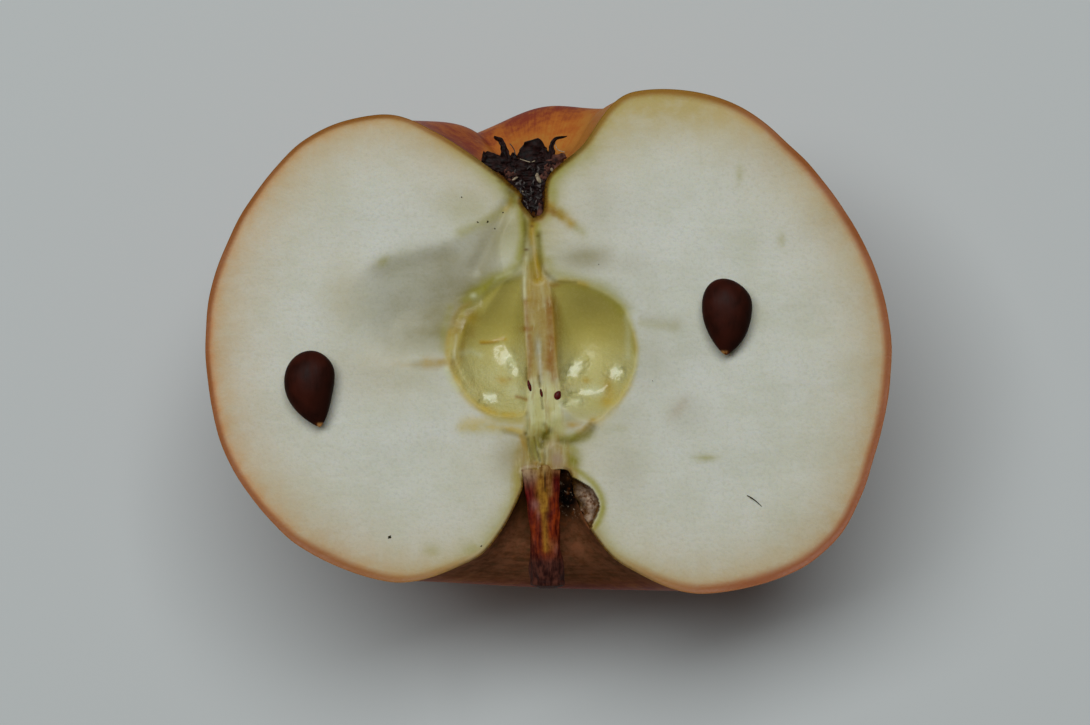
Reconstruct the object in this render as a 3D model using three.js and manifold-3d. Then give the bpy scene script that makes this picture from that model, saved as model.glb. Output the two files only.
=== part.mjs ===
// Half an apple, cut lengthwise through its stalk and calyx. It rests on its skin with the cut face up,
// and two seeds from its core lie on the cut face.
// Millimetres. +Z is up, +Y runs from the stalk to the calyx, and +X is to the right of the core.
// The solids are shaped in the cut's own frame, where the cut face is the plane z = 0, and the group then lifts
// them on to the ground.

import * as THREE from "three";
import { mergeVertices } from "three/addons/utils/BufferGeometryUtils.js";
import Module from "manifold-3d";

const wasm = await Module();
wasm.setup();

// ---------------------------------------------------------------- driving dimensions

// The cut's outline on each side of the core, from the stalk's foot to the tip of the calyx tube. Each knot has
// its radius from the core axis and its y, and rib is how far the five ribs swell or sink it under the cut.
const OUTLINE = [
  { right: [0.0, -14.0], left: [0.0, -14.0], rib: 0 },
  { right: [2.5, -14.0], left: [2.5, -14.0], rib: 0 }, // the stalk's foot
  { right: [3.0, -16.6], left: [2.8, -16.2], rib: 0 },
  { right: [5.1, -21.3], left: [5.6, -21.1], rib: 0 }, // the stalk cavity's wall
  { right: [8.6, -24.8], left: [9.2, -24.2], rib: 0 },
  { right: [16.7, -27.7], left: [17.9, -26.4], rib: 0.1 }, // the shoulder round the stalk
  { right: [28.3, -24.6], left: [28.8, -21.7], rib: 0.2 },
  { right: [35.1, -16.6], left: [35.6, -11.9], rib: 0.3 },
  { right: [39.2, -0.5], left: [37.2, 0.7], rib: 0.3 }, // the widest part
  { right: [36.3, 12.4], left: [34.3, 11.3], rib: 0.5 },
  { right: [24.8, 26.0], left: [26.6, 21.9], rib: 0.6 },
  { right: [12.0, 28.3], left: [17.0, 25.7], rib: 1.7 }, // the shoulder round the calyx
  { right: [5.7, 22.1], left: [10.3, 23.7], rib: 1.9 },
  { right: [1.9, 18.8], left: [2.0, 17.7], rib: 0 }, // the mouth of the calyx tube
  { right: [1.2, 15.0], left: [1.2, 15.8], rib: 0 },
  { right: [0.0, 14.2], left: [0.0, 14.2], rib: 0 },
];
// The ribs are broad, with a crease between each two: turn is the first rib's angle in degrees, soft rounds the
// bottom of the crease, and a smaller swell flattens the backs of the ribs.
const RIBS = { count: 5, turn: 5.9, soft: 0.05, swell: 0.7 };
// What the half turn under the cut takes from each radius, and how far it moves the two shoulders along y.
const UNDER = { slimmer: 0.035, stalkShoulder: -0.8, calyxShoulder: -0.93 };

const CORE_AXIS = { x: -0.6, slant: -0.05 }; // x where y is 0, and how far it leans for each mm of y
const GAP = 0.3; // between the flesh and what sits in its two ends

const REST_HEIGHT = 36.55; // the cut face's height, once the skin is worn flat where it rests
const CENTRE = { x: 0.4, y: 0.3 }; // the middle of the whole outline, in the cut's frame

const SEED_CHAMBERS = [
  { side: -1, y: 0.2, halfWidth: 10.5, halfHeight: 7.8 },
  { side: 1, y: -0.9, halfWidth: 10.7, halfHeight: 7.9 },
];
const CHAMBER = { depth: 3.8, squareness: 2.25 };
const CORE_WALL = { top: 2.5, bottom: 3.3, spread: 2.1 };
// A slope torn out of the flesh beside the left chamber: it starts at the plane and deepens towards the core.
const TORN_DISH = { fromX: -22.5, toX: -4.0, fromY: 2.6, toY: 12.8, width: 7.6, depth: 1.6 };
const CORE_GROOVE = { fromY: 7.4, toY: 13.8, halfWidth: 0.55, depth: 0.5 };
const STALK_POCKET = { x: 3.8, y: -17.0, halfWidth: 2.4, halfHeight: 2.8, depth: 2.4 };

const STALK = { footY: -14.3, endY: -27.2, footX: -0.45, endX: 0.35, footR: 2.25, waistR: 1.7, endR: 1.95, dip: 2.8 };
const CALYX = { collarR: 4.2, collarY: 20.8, sepalThickness: 0.5, sepalFootR: 2.8, sepalFootY: 19.4 };
const SEPALS = [
  // angle under the cut, length, width, and how far the tip curls out
  { angle: 14, length: 4.6, width: 2.2, curl: 1.9 },
  { angle: 86, length: 4.2, width: 3.4, curl: 0.6 },
  { angle: 160, length: 4.4, width: 2.6, curl: 1.8 },
];
const SEED = { length: 8.5, width: 5.6, thickness: 3.0, gap: 0.1 };
const SEEDS = [
  // nod and bend are how far the round top and the foot lean to the right
  { name: "seed_left", x: -26.1, y: -4.9, nod: 0.1, bend: 1.1 },
  { name: "seed_right", x: 20.3, y: 3.1, nod: -0.5, bend: -0.2 },
];

const AROUND = 104; // faces round the whole apple
const ALONG = 4 * (OUTLINE.length - 1); // faces from stalk to calyx

const FLESH = new THREE.MeshStandardMaterial({ color: 0xe6e4c8, roughness: 0.55, metalness: 0 });
const WOOD = new THREE.MeshStandardMaterial({ color: 0x5a2a1c, roughness: 0.75, metalness: 0 });
const DRY_LEAF = new THREE.MeshStandardMaterial({ color: 0x2a1a14, roughness: 0.9, metalness: 0 });
const SEED_COAT = new THREE.MeshStandardMaterial({ color: 0x34140d, roughness: 0.3, metalness: 0 });

// ---------------------------------------------------------------- small helpers

const { lerp, clamp, smoothstep, degToRad } = THREE.MathUtils;

// The geometry with its faces joined along their edges.
function joined(geometry) {
  const bare = geometry.clone();
  bare.deleteAttribute("normal");
  bare.deleteAttribute("uv");
  return mergeVertices(bare, 1e-4);
}

function toSolid(geometry) {
  const whole = joined(geometry);
  return new wasm.Manifold(
    new wasm.Mesh({
      numProp: 3,
      vertProperties: new Float32Array(whole.attributes.position.array),
      triVerts: new Uint32Array(whole.index.array),
    }),
  );
}

function toGeometry(solid) {
  const mesh = solid.getMesh();
  const geometry = new THREE.BufferGeometry();
  geometry.setAttribute("position", new THREE.BufferAttribute(mesh.vertProperties, mesh.numProp));
  geometry.setIndex(new THREE.BufferAttribute(mesh.triVerts, 1));
  geometry.computeVertexNormals();
  return geometry;
}

// Moves every vertex of a geometry to where the function puts it.
function reshape(geometry, place) {
  const position = geometry.attributes.position;
  const point = new THREE.Vector3();
  for (let i = 0; i < position.count; i++) {
    point.fromBufferAttribute(position, i);
    place(point);
    position.setXYZ(i, point.x, point.y, point.z);
  }
  return geometry;
}

function ellipsoid(centre, half, turn = 0, across = 40, down = 24) {
  const geometry = new THREE.SphereGeometry(1, across, down);
  geometry.scale(half.x, half.y, half.z);
  geometry.rotateZ(turn);
  geometry.translate(centre.x, centre.y, centre.z);
  return toSolid(geometry);
}

function box(low, high) {
  const geometry = new THREE.BoxGeometry(high.x - low.x, high.y - low.y, high.z - low.z);
  geometry.translate((low.x + high.x) / 2, (low.y + high.y) / 2, (low.z + high.z) / 2);
  return toSolid(geometry);
}

const coreAxisX = (y) => CORE_AXIS.x + CORE_AXIS.slant * y;

// ---------------------------------------------------------------- the apple's outer surface

const sideCurve = (side) => new THREE.SplineCurve(OUTLINE.map((knot) => new THREE.Vector2(...knot[side])));
const RIGHT_CURVE = sideCurve("right");
const LEFT_CURVE = sideCurve("left");
const RIB_CURVE = new THREE.SplineCurve(OUTLINE.map((knot, i) => new THREE.Vector2(i, knot.rib)));

// 1 along the middle of a rib and about -1 in a crease.
const ribWave = (angle) =>
  2 * Math.hypot(Math.cos((RIBS.count / 2) * (angle - degToRad(RIBS.turn))), RIBS.soft) ** RIBS.swell - 1;

// A point of the surface, at an angle round the core (0 at the cut's right edge, PI at its left edge) and a share
// of the way from the stalk's foot (0) to the calyx tube's tip (1).
function skinPoint(angle, share) {
  const under = Math.sin(angle) ** 2;
  const { x: r, y } = LEFT_CURVE.getPoint(share).lerp(RIGHT_CURVE.getPoint(share), (1 + Math.cos(angle)) / 2);
  const rib = RIB_CURVE.getPoint(share).y * under * ribWave(angle);
  const toStalk = smoothstep(-y, 14, 26) * UNDER.stalkShoulder;
  const toCalyx = smoothstep(y, 14, 26) * (UNDER.calyxShoulder + rib);
  const radius = r * (1 - under * UNDER.slimmer) + rib * smoothstep(r, 12, 36);
  const height = y + under * toStalk + under * toCalyx;
  return new THREE.Vector3(coreAxisX(y) + radius * Math.cos(angle), height, -radius * Math.sin(angle));
}

function skinMesh() {
  const ball = new THREE.SphereGeometry(1, AROUND, ALONG);
  return reshape(ball, (point) => {
    const share = 1 - Math.acos(clamp(point.y, -1, 1)) / Math.PI;
    point.copy(skinPoint(Math.atan2(-point.z, point.x), share));
  });
}

// The apple's surface, moved outwards by a distance.
function grownApple(distance) {
  const skin = joined(skinMesh());
  skin.computeVertexNormals();
  const normal = new THREE.Vector3();
  let i = 0;
  reshape(skin, (point) => {
    normal.fromBufferAttribute(skin.attributes.normal, i);
    point.addScaledVector(normal, distance);
    i += 1;
  });
  return toSolid(skin);
}

// ---------------------------------------------------------------- hollows in the cut face

// A chamber is half a bowl with a squarish plan, cut off where the core's wall begins.
function seedChamber({ side, y, halfWidth, halfHeight }) {
  const middle = coreAxisX(y);
  const bowl = reshape(new THREE.SphereGeometry(1, 40, 24), (point) => {
    const plan = Math.hypot(point.x, point.y) || 1;
    const square = (value) => Math.abs(value / plan) ** (2 / CHAMBER.squareness) * Math.sign(value) * plan;
    point.set(middle + square(point.x) * halfWidth, y + square(point.y) * halfHeight, point.z * CHAMBER.depth);
  });
  const beside = reshape(new THREE.BoxGeometry(1, 1, 1, 1, 8, 1), (point) => {
    const alongWall = y + point.y * 2.2 * halfHeight;
    const spread = point.z < 0 ? CORE_WALL.spread : 1;
    const half = (lerp(CORE_WALL.bottom, CORE_WALL.top, point.y + 0.5) * spread) / 2;
    const near = coreAxisX(alongWall) + side * half;
    const x = point.x * side > 0 ? near + side * 2 * halfWidth : near;
    point.set(x, alongWall, point.z < 0 ? -CHAMBER.depth - 1 : 0.1);
  });
  return toSolid(bowl).intersect(toSolid(beside));
}

// The dish is a long shallow bowl, tipped so that it deepens away from its upper edge.
function tornDish() {
  const d = TORN_DISH;
  const length = Math.hypot(d.toX - d.fromX, d.toY - d.fromY);
  const bowl = reshape(new THREE.SphereGeometry(1, 36, 16), (point) => {
    const deepens = smoothstep(-point.y, -1, 0.5);
    point.set((point.x * length) / 2, point.y * d.width, point.z * d.depth * (0.35 + 0.65 * deepens));
  });
  bowl.rotateZ(Math.atan2(d.toY - d.fromY, d.toX - d.fromX));
  bowl.translate((d.fromX + d.toX) / 2, (d.fromY + d.toY) / 2 - d.width / 3, 0);
  return toSolid(bowl);
}

function coreGroove() {
  const g = CORE_GROOVE;
  const y = (g.fromY + g.toY) / 2;
  const half = { x: g.halfWidth, y: (g.toY - g.fromY) / 2, z: g.depth };
  return ellipsoid({ x: coreAxisX(y), y, z: 0 }, half, 0, 12, 16);
}

function stalkPocket() {
  const p = STALK_POCKET;
  return ellipsoid({ x: p.x, y: p.y, z: -0.2 }, { x: p.halfWidth, y: p.halfHeight, z: p.depth }, 0, 20, 14);
}

function appleHalf() {
  const reach = 60;
  const underTheCut = box({ x: -reach, y: -reach, z: -REST_HEIGHT }, { x: reach, y: reach, z: 0 });
  return [...SEED_CHAMBERS.map(seedChamber), tornDish(), coreGroove(), stalkPocket()].reduce(
    (solid, hollow) => solid.subtract(hollow),
    toSolid(skinMesh()).intersect(underTheCut),
  );
}

// ---------------------------------------------------------------- stalk, calyx and seeds

// What a stalk or calyx keeps: all below the cut and clear of the flesh.
const trimmed = (solid) =>
  solid.intersect(box({ x: -60, y: -60, z: -60 }, { x: 60, y: 60, z: 0 })).subtract(grownApple(GAP));

// The stalk leans down into the half, so the cut splits its foot and misses its end.
function stalk() {
  const s = STALK;
  const rod = reshape(new THREE.CylinderGeometry(1, 1, 1, 22, 16), (point) => {
    const along = 0.5 - point.y; // 0 at the foot, 1 at the free end
    const narrowing = Math.sin(Math.PI * along);
    const swelling = 1 + 0.05 * Math.cos(5 * Math.PI * along) * along;
    const radius = lerp(lerp(s.footR, s.endR, along), s.waistR, narrowing) * swelling;
    const x = lerp(s.footX, s.endX, along) + point.x * radius;
    point.set(x, lerp(s.footY, s.endY, along), point.z * radius - s.dip * along ** 1.5);
  });
  return trimmed(toSolid(rod));
}

// A dry sepal: a leaf that rises from the collar, narrows and curls outwards.
function sepal({ angle, length, width, curl }) {
  const turn = degToRad(angle);
  const leaf = reshape(new THREE.BoxGeometry(1, 1, 1, 4, 8, 1), (point) => {
    const along = point.y + 0.5;
    const r = CALYX.sepalFootR + curl * along ** 2 + point.z * CALYX.sepalThickness;
    const y = CALYX.sepalFootY + length * Math.sin(along * 1.25);
    const across = point.x * width * (1 - 0.75 * along ** 1.6);
    const x = r * Math.cos(turn) - across * Math.sin(turn);
    const z = -r * Math.sin(turn) - across * Math.cos(turn);
    point.set(coreAxisX(y) + x, y, z);
  });
  return toSolid(leaf);
}

// The dried flower: a plug of old stamens that fills the calyx tube, a ragged collar and the sepals round it.
function calyx() {
  const tip = OUTLINE.at(-1).right[1] + 2 * GAP;
  const plug = reshape(new THREE.CylinderGeometry(1, 1, 1, 20, 12), (point) => {
    const along = point.y + 0.5; // 0 at the tube's tip, 1 on top of the collar
    const y = lerp(tip, CALYX.collarY, along);
    const ragged = 1 + 0.06 * along * Math.cos(7 * Math.atan2(point.z, point.x));
    const r = CALYX.collarR * along ** 0.8 * ragged + 0.2;
    point.set(coreAxisX(y) + point.x * r, y, point.z * r);
  });
  return trimmed(SEPALS.reduce((solid, spec) => solid.add(sepal(spec)), toSolid(plug)));
}

// A drop-shaped seed, round at its top and narrow at its foot, lying on its flat side.
function seed({ x, y, nod, bend }) {
  const drop = reshape(new THREE.SphereGeometry(1, 20, 16), (point) => {
    const along = (1 - point.y) / 2; // 0 at the round top, 1 at the foot
    const girth = 2.32 * Math.sqrt(along) * (1 - along) ** 0.75;
    const ring = Math.hypot(point.x, point.z) || 1;
    const lean = point.y > 0 ? nod * point.y ** 2 : bend * (-point.y) ** 2.5;
    point.set(
      lean + (point.x / ring) * girth * (SEED.width / 2),
      point.y * (SEED.length / 2),
      (point.z / ring) * girth * (SEED.thickness / 2),
    );
  });
  drop.translate(x, y, SEED.thickness / 2 + SEED.gap);
  return toSolid(drop);
}

// ---------------------------------------------------------------- the scene graph

function addNode(parent, name, solid, material) {
  const mesh = new THREE.Mesh(toGeometry(solid), material);
  mesh.name = name;
  parent.add(mesh);
}

const onTheCut = new THREE.Group();
onTheCut.position.set(-CENTRE.x, -CENTRE.y, REST_HEIGHT);
addNode(onTheCut, "apple_half", appleHalf(), FLESH);
addNode(onTheCut, "stalk", stalk(), WOOD);
addNode(onTheCut, "calyx", calyx(), DRY_LEAF);
SEEDS.forEach((spec) => addNode(onTheCut, spec.name, seed(spec), SEED_COAT));

const apple = new THREE.Group();
apple.add(onTheCut);

export default apple;
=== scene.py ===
"""Half an apple, cut lengthwise through its stalk and calyx, with two of its seeds on the cut face.

Shapes are worked out in the cut's own frame, in millimetres: the cut face is z = 0, +Y runs from the stalk
to the calyx and +X to the right of the core. to_row() puts them in the row frame, in metres.
"""
import math

import bpy
import numpy as np
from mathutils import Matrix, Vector
from mathutils.geometry import delaunay_2d_cdt


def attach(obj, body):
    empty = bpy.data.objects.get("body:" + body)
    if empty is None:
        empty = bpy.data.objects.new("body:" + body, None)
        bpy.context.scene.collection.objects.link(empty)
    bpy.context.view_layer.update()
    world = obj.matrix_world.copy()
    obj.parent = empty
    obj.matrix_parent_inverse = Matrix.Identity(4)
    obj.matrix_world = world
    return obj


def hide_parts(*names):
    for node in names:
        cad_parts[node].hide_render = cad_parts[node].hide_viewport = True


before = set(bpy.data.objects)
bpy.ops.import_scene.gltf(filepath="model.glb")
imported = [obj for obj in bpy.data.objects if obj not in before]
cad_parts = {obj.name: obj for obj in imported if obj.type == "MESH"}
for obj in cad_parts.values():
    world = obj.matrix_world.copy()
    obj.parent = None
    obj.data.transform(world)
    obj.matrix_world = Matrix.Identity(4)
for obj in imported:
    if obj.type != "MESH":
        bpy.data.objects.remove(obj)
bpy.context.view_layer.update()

# ---------------------------------------------------------------- sizes, as the solids have them

OUTLINE = [  # (right radius, y), (left radius, y), rib: from the stalk's foot to the tip of the calyx tube
    ((0.0, -14.0), (0.0, -14.0), 0.0),
    ((2.5, -14.0), (2.5, -14.0), 0.0),
    ((3.0, -16.6), (2.8, -16.2), 0.0),
    ((5.1, -21.3), (5.6, -21.1), 0.0),
    ((8.6, -24.8), (9.2, -24.2), 0.0),
    ((16.7, -27.7), (17.9, -26.4), 0.1),
    ((28.3, -24.6), (28.8, -21.7), 0.2),
    ((35.1, -16.6), (35.6, -11.9), 0.3),
    ((39.2, -0.5), (37.2, 0.7), 0.3),
    ((36.3, 12.4), (34.3, 11.3), 0.5),
    ((24.8, 26.0), (26.6, 21.9), 0.6),
    ((12.0, 28.3), (17.0, 25.7), 1.7),
    ((5.7, 22.1), (10.3, 23.7), 1.9),
    ((1.9, 18.8), (2.0, 17.7), 0.0),
    ((1.2, 15.0), (1.2, 15.8), 0.0),
    ((0.0, 14.2), (0.0, 14.2), 0.0),
]
RIBS = {"count": 5, "turn": 5.9, "soft": 0.05, "swell": 0.7, "spread": (12, 36)}
UNDER = {"slimmer": 0.035, "stalk_shoulder": -0.8, "calyx_shoulder": -0.93, "shoulders": (14, 26)}
REST_HEIGHT = 36.55  # of the cut face over the ground
CENTRE = (0.4, 0.3)  # of the whole outline, in the cut's frame

CHAMBER_DEPTH = 3.8
CHAMBER_ROUNDNESS = 1.35  # a larger power gives a smaller flat bottom and a gentler rim
CHAMBERS = [  # the middle of each seed chamber and its rim
    ((-5.0, 0.2), [
        (-2.4, 7.9), (-4.0, 7.4), (-5.3, 6.8), (-6.5, 6.0), (-7.4, 5.0), (-8.4, 4.5), (-9.4, 4.1),
        (-10.2, 2.7), (-10.7, 1.0), (-10.95, -0.6), (-10.7, -2.3), (-10.1, -3.6), (-9.3, -4.9), (-8.3, -6.1),
        (-7.1, -7.1), (-5.6, -7.9), (-4.0, -8.0), (-2.3, -7.7), (-1.9, -4.0), (-2.1, 0.0), (-2.3, 4.0),
    ]),
    ((4.8, -0.6), [
        (0.5, 6.9), (2.0, 7.2), (4.0, 6.9), (5.7, 6.3), (7.3, 5.4), (8.5, 4.4), (9.3, 3.1), (9.9, 1.3),
        (10.2, -0.6), (10.0, -2.7), (9.3, -4.5), (8.3, -6.1), (7.0, -7.5), (5.6, -8.5), (4.0, -8.5),
        (2.7, -7.6), (1.9, -6.2), (1.5, -4.0), (1.2, -1.0), (1.0, 2.0), (0.7, 5.0),
    ]),
]
SHELF_DEPTH = 0.5  # of the ledge inside the left chamber's outer rim
POCKET_DEPTH = 2.4
POCKET_ROUNDNESS = 0.45  # under 1 its walls are steep
POCKET = ((3.7, -17.2), [  # the middle and rim of the torn pocket beside the stalk
    (0.9, -14.2), (2.0, -14.2), (3.2, -14.8), (4.2, -15.3), (5.2, -16.0), (5.8, -16.9), (6.1, -17.9),
    (5.9, -18.8), (5.4, -19.7), (5.0, -20.6), (3.6, -20.4), (2.4, -19.6), (1.4, -18.0), (1.0, -16.0),
])
DISH_EDGE = [  # the upper edge of the dish torn out beside the left chamber
    (-23.6, 1.0), (-22.9, 5.6), (-21.2, 8.0), (-18.4, 9.9), (-14.2, 11.0), (-9.7, 12.4), (-5.4, 15.4),
]
DISH = {"step": 0.25, "step_width": 2.2, "slope": 0.21, "slope_start": 0.3, "slope_reach": 6.2, "full": 1.25}
DISH_GROOVE = [(-4.4, 15.4), (-5.2, 13.2), (-6.6, 10.6), (-7.8, 8.6)]
FACE_SINK = 0.07  # how far the cut face lies under its plane, so that its waves stay inside the solid

STALK = {"foot": (-0.45, -13.8), "end": (0.35, -27.2), "dip": 2.8}
STALK_RADII = {"foot": 2.25, "waist": 1.7, "end": 1.95}
SEED = {"length": 8.5, "width": 5.6, "thickness": 3.0, "gap": 0.1}
SEEDS = [  # name, x, y, how far its round top and its foot lean to the right
    ("seed_left", -26.1, -4.9, 0.1, 1.1),
    ("seed_right", 20.3, 3.1, -0.5, -0.2),
]

ROWS, COLUMNS = 300, 84  # of the skin, from stalk to calyx and round the half
FINE, COARSE = 0.14, 0.46  # spacing of the cut face's points at the core and elsewhere
RIM_RINGS = (0.13, 0.27, 0.42, 0.6, 0.85, 1.2)  # how far inside the outline its own rings of points lie
SKIN_ANGLES = np.linspace(0, math.pi, COLUMNS)
BUMPS_FROM = (0, 0, -6)  # the skin's bumps stand away from here
TUBE_SIDES = 6
FINE_OVAL = {"middle": (-0.4, -0.5), "half": (11.8, 10.2)}  # where the cut face has fine detail
FINE_STRIP = {"middle": -0.6, "half": 4.2, "low": -18, "high": 21}
FINE_ROUND = {"middle": (4.2, -17.4), "radius": 3.9}

rng = np.random.default_rng(7)


# ---------------------------------------------------------------- helpers for shapes

def core_x(y):
    return -0.6 - 0.05 * np.asarray(y, float)


def smooth(value, low, high):
    t = np.clip((np.asarray(value, float) - low) / (high - low), 0, 1)
    return t * t * (3 - 2 * t)


def spline(knots, share):
    """Points of the uniform Catmull-Rom spline through the knots, at shares from 0 to 1."""
    knots = np.asarray(knots, float)
    where = np.clip(np.asarray(share, float), 0, 1) * (len(knots) - 1)
    i = np.minimum(where.astype(int), len(knots) - 2)
    t = (where - i)[..., None]
    before, start, stop, after = (knots[np.clip(i + k, 0, len(knots) - 1)] for k in (-1, 0, 1, 2))
    v0, v1 = (stop - before) / 2, (after - start) / 2
    step = stop - start
    return (v0 + v1 - 2 * step) * t**3 + (3 * step - 2 * v0 - v1) * t**2 + v0 * t + start


def ripple(points, size, seed, count=9):
    """Soft seeded noise between about -1 and 1: waves of about the given size, in every direction."""
    draw = np.random.default_rng(seed)
    points = np.asarray(points, float)
    total = np.zeros(points.shape[:-1])
    for _ in range(count):
        way = draw.normal(size=points.shape[-1])
        way *= 2 * math.pi / (size * draw.uniform(0.7, 1.5) * np.linalg.norm(way))
        total += np.sin(points @ way + draw.uniform(0, 2 * math.pi))
    return total / math.sqrt(count)


def distance_to_path(xy, path):
    """Distance from each point to a path of straight stretches."""
    nearest = np.full(len(xy), np.inf)
    for a, b in zip(np.asarray(path[:-1], float), np.asarray(path[1:], float)):
        along = b - a
        t = np.clip((xy - a) @ along / max(along @ along, 1e-12), 0, 1)
        nearest = np.minimum(nearest, np.linalg.norm(xy - a - t[:, None] * along, axis=1))
    return nearest


def fade(distance, width):
    """1 at no distance, less and less over the width."""
    return np.exp(-((distance / width) ** 2))


def line(xy, path, width, strength):
    """A soft line along a smooth path: strength on the line, fading over its width."""
    bent = spline(path, np.linspace(0, 1, 5 * len(path))) if len(path) > 2 else np.asarray(path, float)
    near = np.all((xy > bent.min(0) - 3 * width) & (xy < bent.max(0) + 3 * width), axis=1)
    out = np.zeros(len(xy))
    out[near] = strength * fade(distance_to_path(xy[near], bent), width)
    return out


def blot(xy, x, y, half_x, half_y, strength=1.0, turn=0.0):
    """A soft oval spot."""
    c, s = math.cos(turn), math.sin(turn)
    dx, dy = xy[..., 0] - x, xy[..., 1] - y
    return strength * np.exp(-(((dx * c + dy * s) / half_x) ** 2) - ((dy * c - dx * s) / half_y) ** 2)


def strokes(xy, lines=(), blots=()):
    """The strongest of some soft lines and spots at each point."""
    total = np.zeros(len(xy))
    for path, width, strength in lines:
        total = np.maximum(total, line(xy, path, width, strength))
    for spec in blots:
        total = np.maximum(total, blot(xy, *spec))
    return total


def in_rim(xy, middle, rim):
    """0 at the middle of a closed rim, 1 on it and more outside."""
    ring = spline(rim + rim[:1], np.linspace(0, 1, 12 * len(rim))) - middle
    away = np.asarray(xy, float) - middle
    turn = np.arctan2(ring[:, 1], ring[:, 0])
    angle = np.arctan2(away[:, 1], away[:, 0])
    size = np.hypot(*ring.T)
    reach = np.interp(angle, turn, size, period=2 * math.pi)
    nearby = np.linspace(-0.5, 0.5, 11)
    evened = np.mean([np.interp(angle + k, turn, size, period=2 * math.pi) for k in nearby], axis=0)
    far = np.hypot(*away.T)
    return far / (evened + (reach - evened) * smooth(far / reach, 0.35, 1.0))


def to_row(points):
    """Points of the cut's frame, in the row frame and in metres."""
    return (np.asarray(points, float) + (-CENTRE[0], -CENTRE[1], REST_HEIGHT)) / 1000


def make_piece(name, points, faces, materials, slot, masks=None, face_material=None):
    """A smooth-shaded mesh of the given points, in the cut's frame, with float masks on its points."""
    mesh = bpy.data.meshes.new(name)
    mesh.from_pydata(to_row(points).tolist(), [], [list(map(int, face)) for face in faces])
    mesh.polygons.foreach_set("use_smooth", [True] * len(mesh.polygons))
    for material in materials:
        mesh.materials.append(material)
    if face_material is not None:
        mesh.polygons.foreach_set("material_index", np.asarray(face_material, np.int32))
    for mask, values in (masks or {}).items():
        layer = mesh.attributes.new(mask, "FLOAT", "POINT")
        layer.data.foreach_set("value", np.clip(values, 0, 1).astype(np.float32).ravel())
    mesh.update()
    piece = bpy.data.objects.new(name, mesh)
    bpy.context.scene.collection.objects.link(piece)
    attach(piece, "root")
    return piece


def ring_grid(rows, columns, length=1.0):
    """The places along a round piece and the angles round it, to be combined."""
    turn = np.linspace(0, 2 * math.pi, columns, endpoint=False)
    return np.linspace(0, length, rows)[:, None], turn[None, :]


def round_places(turn, along):
    """Places for a ripple that meets itself round a piece."""
    return np.stack(np.broadcast_arrays(2 * np.cos(turn), 2 * np.sin(turn), along), -1)


def tube(path, radii):
    """Points and faces of a closed tube along a path, with a radius for each of its points."""
    path = np.asarray(path, float)
    radii = np.broadcast_to(np.asarray(radii, float), (len(path),))
    ways = np.gradient(path, axis=0)
    ways /= np.linalg.norm(ways, axis=1)[:, None] + 1e-12
    aside = np.cross(ways, (0.31, 0.17, 0.93))  # any direction that no path here follows
    aside /= np.linalg.norm(aside, axis=1)[:, None] + 1e-12
    up = np.cross(aside, ways)
    turn = np.linspace(0, 2 * math.pi, TUBE_SIDES, endpoint=False)
    ring = np.cos(turn)[None, :, None] * aside[:, None] + np.sin(turn)[None, :, None] * up[:, None]
    points = (path[:, None] + ring * radii[:, None, None]).reshape(-1, 3)
    return points, tube_faces(len(path), TUBE_SIDES)


def grid_faces(rows, columns, wrap=False):
    """The four-sided faces between rows of points. With wrap, each row is a closed ring."""
    faces = []
    for i in range(rows - 1):
        for j in range(columns if wrap else columns - 1):
            k = (j + 1) % columns
            faces.append((i * columns + j, i * columns + k, (i + 1) * columns + k, (i + 1) * columns + j))
    return faces


def turned(faces):
    """The same faces, facing the other way."""
    return [tuple(reversed(face)) for face in faces]


def tube_faces(rows, columns):
    """The faces of a closed tube: its wall and both its ends."""
    faces = grid_faces(rows, columns, wrap=True)
    faces.append(tuple(range(columns))[::-1])
    faces.append(tuple(range((rows - 1) * columns, rows * columns)))
    return faces


def lump(x, y, z, half_x, half_y, half_z, turn=0.0, rough=0.15, seed=0):
    """Points and faces of a small uneven ball."""
    rows, columns = 16, 20
    down, spin = ring_grid(rows, columns, math.pi)
    ball = np.stack([np.sin(down) * np.cos(spin), np.cos(down) + 0 * spin, np.sin(down) * np.sin(spin)], -1)
    ball = ball * (1 + rough * ripple(ball, 1.1, seed))[..., None] * (half_x, half_y, half_z)
    c, s = math.cos(turn), math.sin(turn)
    ball = ball @ np.array([(c, s, 0), (-s, c, 0), (0, 0, 1)])
    return (ball + (x, y, z)).reshape(-1, 3), grid_faces(rows, columns, wrap=True)


def join_parts(parts):
    """One list of points and one of faces from those of several parts."""
    points, faces = [], []
    for some, its_faces in parts:
        start = sum(len(p) for p in points)
        faces += [tuple(start + v for v in face) for face in its_faces]
        points.append(np.asarray(some, float))
    return np.concatenate(points), faces


# ---------------------------------------------------------------- materials

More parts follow.
